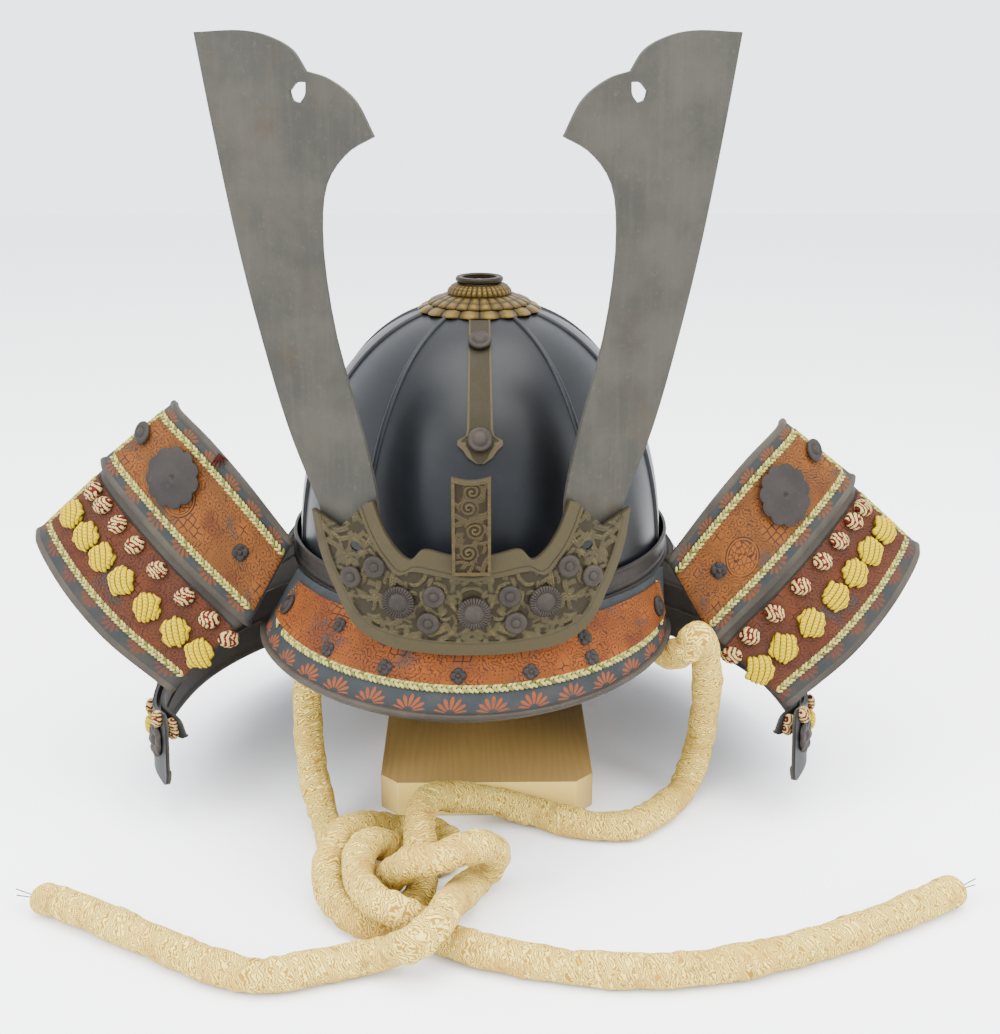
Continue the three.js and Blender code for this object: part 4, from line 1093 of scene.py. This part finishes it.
def lameEdge(edge):
    def half(side):
        lift = -side * wingForm["lift"]
        start = np.array([side * edge["fold"][0], edge["fold"][1], edge["fold"][2] + lift])
        end = np.array([side * edge["tip"][0], edge["tip"][1], edge["tip"][2] + lift])
        forward = np.array([side * 0.334, -0.909, 0.269])
        acrossWing = np.array([-side * 0.66, 0, 0.75])
        wing = []
        for share in wingShares:
            bow = math.sin(math.pi * share)
            bulge = wingForm["bulge"] * bow - (wingForm["tipIn"] if share == 1 else 0)
            wing.append(start + (end - start) * share + forward * bulge + acrossWing * edge["arch"] * bow)
        nearY = edge["fold"][1] + 9
        nearX = side * edge["halfWidth"] * math.sqrt(1 - (nearY / edge["front"]) ** 2)
        nearZ = edge["fold"][2] + (edge["height"] - edge["fold"][2]) * 0.3 + lift * 0.8
        near = np.array([nearX, nearY, nearZ])
        behind = []
        for degrees in neckAngles:
            angle = math.radians(degrees)
            settle = math.cos(angle) ** 2 * wingForm["settle"]
            across = side * edge["halfWidth"] * math.cos(angle)
            behind.append(np.array([across, edge["back"] * math.sin(angle), edge["height"] + lift * settle]))
        return wing + [start, near] + behind
    return half(1) + [np.array([0, edge["back"], edge["height"]])] + half(-1)[::-1]


def outsideRow(upper, lower, rise, clearance):
    row = []
    for i, point in enumerate(lower):
        along = lower[min(i + 1, len(lower) - 1)] - lower[max(i - 1, 0)]
        down = (point - upper[i]) / np.linalg.norm(point - upper[i])
        outwards = -np.cross(along / np.linalg.norm(along), down)
        row.append(point - down * rise + outwards / np.linalg.norm(outwards) * clearance)
    return row


def lameFace(rows):
    curves = [splineThrough(row) for row in rows]

    def at(u, v):
        u, v = np.broadcast_arrays(np.asarray(u, float), np.asarray(v, float))
        place = np.clip(v, 0, 1) * (len(curves) - 1)
        first = np.minimum(place.astype(int), len(curves) - 2)
        w = (place - first)[..., None]
        lines = [curve(u) for curve in curves]
        upper = np.choose(first[..., None], lines[:-1])
        lower = np.choose(first[..., None], lines[1:])
        return upper * (1 - w) + lower * w
    return at


edge0, edge1, edge2 = (lameEdge(edge) for edge in lameEdges)
lame1 = lameFace([edge0, edge1])
lame2 = lameFace([outsideRow(edge0, edge1, 8, 6.2), outsideRow(edge0, edge1, 0, 5), edge2])
lastPoint = len(edge0) - 1


def wingPlace(share, side):
    following = next(i for i, value in enumerate(wingShares + [0]) if value <= share)
    if following == 0:
        index = 0
    else:
        a, b = wingShares[following - 1], (wingShares + [0])[following]
        index = following - (share - b) / (a - b)
    return index / lastPoint if side > 0 else 1 - index / lastPoint


def rimmed(edges, rise, half):
    def high(u, v):
        lift = np.full(len(u), 1.1)
        for edge in edges:
            lift = np.maximum(lift, 1.1 + rise * np.sqrt(np.clip(1 - ((v - edge) / half) ** 2, 0, 1)))
        return lift
    return high


def lamePiece(node, face, rim, cells):
    sheetOn(node + "_rolled", face, (0, 1), (0, 1), -1.1, rim, cells, "lame", (node,), outside)


lamePiece("lame_1", lame1, rimmed((0.03, 0.97), 1.2, 0.035), (420, 40))
lamePiece("lame_2", lame2, rimmed((0.985,), 1.2, 0.02), (420, 60))

lowerLames = [
    ("lame_3",
     {"halfWidth": 186.5, "back": 183.5, "height": 80, "near": (184, -48, 64), "end": (171, -66, 62.5)},
     {"halfWidth": 188.5, "back": 185.5, "height": 50, "near": (184, -50, 50), "end": (167, -70, 52)}),
    ("lame_4",
     {"halfWidth": 191.8, "back": 189, "height": 57, "near": (189, -48, 64), "end": (178, -68, 66)},
     {"halfWidth": 194, "back": 191, "height": 26, "near": (190, -52, 27), "end": (177, -80, 26)}),
]
lowerCorner = 0.02  # share of a lower lame's length over which its end is rounded


def lowerEdge(edge):
    def half(side):
        row = [np.array([side * x, y, z]) for x, y, z in (edge["end"], edge["near"])]
        for degrees in neckAngles:
            angle = math.radians(degrees)
            height = edge["near"][2] + (edge["height"] - edge["near"][2]) * degrees / 90
            across = side * edge["halfWidth"] * math.cos(angle)
            row.append(np.array([across, edge["back"] * math.sin(angle), height]))
        return row
    return half(1) + [np.array([0, edge["back"], edge["height"]])] + half(-1)[::-1]


lowerFaces = []
for node, top, low in lowerLames:
    straight = lameFace([lowerEdge(top), lowerEdge(low)])

    def face(u, v, straight=straight):
        reach = np.clip(np.minimum(u, 1 - np.asarray(u, float)) / lowerCorner, 0, 1)
        keep = 0.62 + 0.38 * np.sqrt(1 - (1 - reach) ** 2)
        return straight(u, 0.5 + (np.asarray(v, float) - 0.5) * keep)
    lowerFaces.append(face)
    lamePiece(node, face, rimmed((0.95,), 0.9, 0.06), (300, 24))

onPlate = 2.0  # the leather's underside over a wing's middle surface


def span(first, last, side):
    return sorted((wingPlace(first, side), wingPlace(last, side)))


tuftForm = {"half": 8.6, "height": 5.8, "cells": 52, "columns": 2.4}
knotForm = {"half": (6.0, 5.0, 3.8), "ribs": 4.4}
tuftShares = [0.885, 0.76, 0.638, 0.497, 0.334, 0.182, 0.035]
knotShares = [0.892, 0.807, 0.7, 0.575, 0.425, 0.267, 0.12, 0.005]


# A padded tuft with lobed corners, worked in slanting plaited columns.
def tuftOn(bm, place):
    uvLayer, shade = uvLayerOf(bm), reliefLayerOf(bm)
    cells = tuftForm["cells"]
    made = bmesh.ops.create_grid(bm, x_segments=cells, y_segments=cells, size=0.5)["verts"]
    tilt, bow, turn = random.uniform(-0.35, 0.35), random.uniform(-0.3, 0.3), random.uniform(0, math.tau)
    for vert in made:
        px, py = vert.co.x * 2, vert.co.y * 2
        edge = max(abs(px), abs(py))
        dome = max(0.0, (1 - abs(px) ** 2.6) * (1 - abs(py) ** 2.6)) ** 0.42
        lane = (px + tilt * py + bow * (1 - py * py)) * tuftForm["columns"] + 0.5
        beside = abs(lane - round(lane)) * 2
        plait = 0.5 + 0.5 * math.cos(py * 26 + beside * 4.5)
        level = (1 - beside ** 2.2) * (0.7 + 0.3 * plait)
        roundX = px * math.sqrt(1 - py * py * 0.42)
        roundY = py * math.sqrt(1 - px * px * 0.42)
        angle = math.atan2(py, px)
        lobes = 1 + edge ** 3 * (0.07 * math.cos(5 * angle + turn) + 0.05 * math.cos(9 * angle - 2 * turn))
        lobes -= edge ** 8 * 0.1 * beside ** 2
        rise = tuftForm["height"] * dome * (0.72 + 0.28 * level)
        vert.co = place @ Vector((roundX * tuftForm["half"] * lobes, roundY * tuftForm["half"] * lobes, rise))
        # the relief value, low between the plaited columns and towards the tuft's rim, darkens the thread
        # there: painted shade
        vert[shade] = min(level * 1.1, 1) * min(1, dome * 1.6)
        for loop in vert.link_loops:
            loop[uvLayer].uv = (0.25 + 0.5 * plait, 0)


# A ball wound in fat cream strands with red showing between them.
def knotOn(bm, place):
    uvLayer, shade = uvLayerOf(bm), reliefLayerOf(bm)
    made = bmesh.ops.create_icosphere(bm, subdivisions=4, radius=1)["verts"]
    lean, start = random.uniform(-0.6, 0.6), random.uniform(-0.3, 0.3)
    form = place @ Matrix.Diagonal((*knotForm["half"], 1))
    for vert in made:
        bent = vert.co.x + lean * vert.co.y + 0.35 * math.sin(vert.co.y * 2.4)
        lane = (bent + start) * knotForm["ribs"] * 0.5
        beside = abs(lane - round(lane)) * 2
        twist = 0.5 + 0.5 * math.cos(vert.co.y * 9 + beside * 3)
        level = 1 - beside ** 2.6
        red = 0.9 if beside > 0.58 or (round(lane) % 3 == 0 and twist < 0.35) else 0.1
        # the relief value, low between the strands, darkens them towards the groove colour: painted shade
        vert[shade] = max(0.0, min(1, (level - 0.1) * (0.75 + 0.25 * twist) * 1.3))
        for loop in vert.link_loops:
            loop[uvLayer].uv = (red, 0)
        vert.co = form @ (vert.co * (0.86 + 0.18 * level))


# A seat on the outer face of a lower lame, counted from its end on either side.
def sideSeat(face, side, along, down, lift):
    u, v = np.array([along if side > 0 else 1 - along]), np.array([down])
    normal = -Vector(normalsOf(face, u, v)[0])
    turn = Vector((0, 0, 1)).rotation_difference(normal).to_matrix().to_4x4()
    return Matrix.Translation(Vector(face(u, v)[0]) + normal * lift) @ turn


rowsUpper, rowsLower = (0.165, 0.825), (0.555, 0.895)  # the braids' places across the two wings
fans = {"pitch": 0.0205, "reach": 0.0098}
medallionForm = {"left": 0.0693, "right": 0.08162, "across": 0.575, "radius": 0.0115}
wingColors = {
    "upper": (tone(94, 96, 92), tone(176, 100, 52)), "lower": (tone(98, 92, 84), tone(150, 84, 58)),
    "leather": (tone(176, 104, 40, 0.26), tone(140, 86, 40, 0.26), tone(70, 48, 44, 0.2)),
}
wingDisc = {"radius": 18.4, "lobes": 11, "share": 0.65, "across": 0.478, "lift": 4.1}
discRows = [(0, 0), (17.4, 0), (18.4, 0.5), (18.3, 1.2), (17.2, 1.5), (13, 1.0), (6, 1.1), (3, 1.5),
            (1.4, 1.6), (0.8, 0.9), (0, 0.8)]
sideKnots = [  # lower lame, place along it and down it, size
    (0, 0.03, 0.45, 0.8), (0, 0.03, 0.8, 0.75), (1, 0.035, 0.1, 0.9), (1, 0.1, 0.14, 0.85),
    (1, 0.16, 0.2, 0.8)]
sideTufts = [(0.09, 0.36), (0.15, 0.42), (0.21, 0.46)]


def leafEdge(angle, r, z):
    lobe = abs(math.cos(wingDisc["lobes"] * angle / 2)) ** 0.7
    out = r / wingDisc["radius"]
    return r * (1 - 0.1 * (1 - lobe) * out ** 3 - 0.035 * (1 + math.sin(angle * 2 + 1)) * out), z


for word, side in (("left", -1), ("right", 1)):
    edging = span(0.985, 0.0, side)
    middleU = sum(edging) / 2

    def feet(face, *rows):
        return [(float(depthAt(face, middleU, v)), way) for v, way in rows]
    borders = {"upper": feet(lame1, (rowsUpper[1], 1), (rowsUpper[0], -1)),
               "lower": feet(lame2, (rowsLower[1], 1))}
    for level, rows in borders.items():
        ground, fan = wingColors[level]
        name = level + "Fans" + word
        finishes[name] = fanBorderFinish(name, fans["pitch"], rows, fans["reach"], ground, fan)
    medallion = (medallionForm[word], float(depthAt(lame1, middleU, medallionForm["across"])),
                 medallionForm["radius"])
    finishes["leather" + word] = leatherFinish("wingLeather" + word, *wingColors["leather"], 0.0,
                                               (medallion,))
    sheetOn(f"wing_border_upper_{word}", lame1, edging, (0.05, 0.945), 1.0, 1.7, (60, 14),
            "upperFans" + word)
    sheetOn(f"wing_print_upper_{word}", lame1, span(0.96, 0.01, side), rowsUpper, 1.7, onPlate + 0.5,
            (60, 14), "leather" + word, (f"wing_leather_upper_{word}",))
    sheetOn(f"wing_border_lower_{word}", lame2, edging, (0.55, 0.972), 1.0, 1.7, (60, 12),
            "lowerFans" + word)
    sheetOn(f"wing_print_lower_{word}", lame2, span(0.965, 0.01, side), rowsLower, 1.7, onPlate + 0.5,
            (60, 12), "darkLeather", (f"wing_leather_lower_{word}",))
    ends = [wingPlace(share, side) for share in np.linspace(0.955, 0.0, 40)]
    free = wingPlace(0.962, side)
    lines = [[[u, v] for u in ends] for v in rowsUpper] + [[[free, v] for v in np.linspace(*rowsUpper, 8)]]
    plaitOn(f"wing_braid_upper_{word}", lines, lame1, 3.8, 2.4, onPlate + 0.6)
    lines = [[[u, rowsLower[1]] for u in ends], [[free, v] for v in np.linspace(0.57, rowsLower[1], 8)]]
    plaitOn(f"wing_braid_lower_{word}", lines, lame2, 3.8, 2.4, onPlate + 0.6)
    place = seatOn(lame1, wingPlace(wingDisc["share"], side), wingDisc["across"], wingDisc["lift"])
    turnedPiece(f"wing_disc_{word}_cast", discRows, 132, "darkIron", (f"wing_disc_{word}",),
                leafEdge, place, 60)
    oval = seatOn(lame1, wingPlace(0.935, side), 0.428, 3.4) @ Matrix.Diagonal((0.72, 1, 1, 1))
    flowerPiece(f"wing_button_{word}_turned", f"wing_button_{word}", oval, 8, 2.4, 3, 0.4, "darkIron",
                0, 0)
    starPiece(f"wing_star_{word}", (), seatOn(lame1, wingPlace(0.19, side), 0.49, 2.6), 5, 1.9, 0.3)
    bm = bmesh.new()
    for share in tuftShares:
        tuftOn(bm, seatOn(lame2, wingPlace(share, side), 0.755, 2.6, random.uniform(-0.15, 0.15)))
    madePiece(bm, f"lacing_tufts_{word}", "yellow", (f"lacing_yellow_{word}",), 80)
    bm = bmesh.new()
    for share in knotShares:
        knotOn(bm, seatOn(lame2, wingPlace(share, side), 0.602, 4.6, random.uniform(-0.3, 0.3)))
    madePiece(bm, f"lacing_twists_{word}", "knot", (f"lacing_knots_{word}",), 80)
    bm = bmesh.new()
    for lower, along, down, size in sideKnots:
        place = sideSeat(lowerFaces[lower], side, along, down, 2.2)
        knotOn(bm, place @ Matrix.Diagonal((size, size, size, 1)))
    madePiece(bm, f"side_twists_{word}", "knot", (), 80)
    bm = bmesh.new()
    for along, down in sideTufts:
        tuftOn(bm, sideSeat(lowerFaces[1], side, along, down, 1.2) @ Matrix.Diagonal((0.7, 0.7, 0.8, 1)))
    madePiece(bm, f"side_tufts_{word}", "yellow", (), 80)
    place = sideSeat(lowerFaces[1], side, 0.05, 0.45, 1.5)
    flowerPiece(f"side_boss_{word}_chased", f"side_boss_{word}", place, 10, 2.8, 8, 0.35, "iron",
                0.4, 0.1)

# A loose wisp of red thread at the front rim of the left wing, and bare wires at each cord's tip.
wisp = {"turns": (-0.9, -0.45, 0.0, 0.4, 0.85), "lean": 72, "length": 8, "radii": (0.9, 0.35)}
bm = bmesh.new()
wispPlace = seatOn(lame1, wingPlace(0.56, -1), 0.02, 2.0)
for turn in wisp["turns"]:
    strand = bmesh.ops.create_cone(bm, cap_ends=True, segments=8, radius1=wisp["radii"][0],
                                   radius2=wisp["radii"][1], depth=wisp["length"])["verts"]
    lean = Matrix.Rotation(math.radians(wisp["lean"]), 4, "X") @ Matrix.Rotation(turn, 4, "Y")
    lean = lean @ Matrix.Translation((0, 0, wisp["length"] * 0.45))
    bmesh.ops.transform(bm, matrix=wispPlace @ lean, verts=strand)
madePiece(bm, "red_wisp", "redThread")
tipWire = {"radius": 0.3, "length": 13, "out": 4.5, "aside": 1.2}
bm = bmesh.new()
for route in cordRoutes.values():
    tip, before = Vector(route[-1]), Vector(route[-2])
    ahead = (tip - before).normalized()
    for aside in (-tipWire["aside"], tipWire["aside"]):
        wire = bmesh.ops.create_cone(bm, cap_ends=True, segments=8, radius1=tipWire["radius"],
                                     radius2=tipWire["radius"], depth=tipWire["length"])["verts"]
        spread = ahead + Vector((0, 0, aside * 0.09))
        turn = Vector((0, 0, 1)).rotation_difference(spread).to_matrix().to_4x4()
        place = Matrix.Translation(tip + ahead * tipWire["out"] + Vector((0, 0, aside)))
        bmesh.ops.transform(bm, matrix=place @ turn, verts=wire)
madePiece(bm, "cord_tip_wires", "iron")
print("neck guard done")

standBase = {"width": 124, "depth": 170, "chamfer": 10.5, "edge": 0.7, "height": 21.5,
             "shiftX": 3, "shiftY": 19}
bm = bmesh.new()
bmesh.ops.create_cube(bm, size=1)
bmesh.ops.scale(bm, verts=bm.verts, vec=(standBase["width"], standBase["depth"], standBase["height"]))
upright = [edge for edge in bm.edges if abs(edge.verts[0].co.z - edge.verts[1].co.z) > 1]
bmesh.ops.bevel(bm, geom=upright, offset=standBase["chamfer"], affect="EDGES", segments=1, profile=0.5,
                material=-1)
bmesh.ops.bevel(bm, geom=bm.edges[:], offset=standBase["edge"], affect="EDGES", segments=2, profile=0.5,
                material=-1)
middle = (standBase["shiftX"], standBase["shiftY"], standBase["height"] / 2)
bmesh.ops.translate(bm, verts=bm.verts, vec=middle)
madePiece(bm, "stand_block", "wood", ("stand_base",), 30)
post = {"radius": 15, "top": 226, "shiftY": 46, "gap": 0.4}
bm = bmesh.new()
foot = standBase["height"] + post["gap"]
height = post["top"] - standBase["height"] - post["gap"]
bmesh.ops.create_cone(bm, cap_ends=True, segments=64, radius1=post["radius"], radius2=post["radius"],
                      depth=height)
bmesh.ops.translate(bm, verts=bm.verts, vec=(0, post["shiftY"], foot + height / 2))
madePiece(bm, "stand_dowel", "wood", ("stand_post",), 30)
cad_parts["stand_pad"].data.materials.clear()
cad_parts["stand_pad"].data.materials.append(finishes["wood"])

bm = bmesh.new()
bmesh.ops.create_grid(bm, x_segments=1, y_segments=1, size=3)
floorMesh = bpy.data.meshes.new("paleFloor")
bm.to_mesh(floorMesh)
bm.free()
floorShader = Shader("paleFloor", color=tone(240, 240, 241, 1), rough=0.8, specular=0.2)
floorMesh.materials.append(floorShader.material)
floor = bpy.data.objects.new("paleFloor", floorMesh)
floor.location.z = -0.0004
bpy.context.scene.collection.objects.link(floor)

room = {"color": tone(240, 243, 248, 1), "strength": 3.5}
world = bpy.data.worlds.new("softRoom")
world.use_nodes = True
background = world.node_tree.nodes["Background"].inputs
background["Color"].default_value, background["Strength"].default_value = room["color"], room["strength"]
bpy.context.scene.world = world
lampSettings = [
    {"name": "overhead", "at": (0.1, -0.3, 1.7), "aim": (0, 0, 0.1), "size": 1.6, "power": 84,
     "color": (1, 0.99, 0.97)},
    {"name": "leftWindow", "at": (-1.3, -0.9, 1.1), "aim": (0, 0, 0.2), "size": 1.0, "power": 46,
     "color": (0.9, 0.95, 1)},
    {"name": "rightWindow", "at": (1.3, -0.8, 1.0), "aim": (0, 0, 0.2), "size": 1.0, "power": 34,
     "color": (0.92, 0.96, 1)},
]
for lamp in lampSettings:
    data = bpy.data.lights.new(lamp["name"], "AREA")
    data.size, data.energy, data.color = lamp["size"], lamp["power"], lamp["color"]
    light = bpy.data.objects.new(lamp["name"], data)
    light.location = lamp["at"]
    light.rotation_euler = (Vector(lamp["aim"]) - Vector(lamp["at"])).to_track_quat("-Z", "Y").to_euler()
    bpy.context.scene.collection.objects.link(light)

print("scene ready")
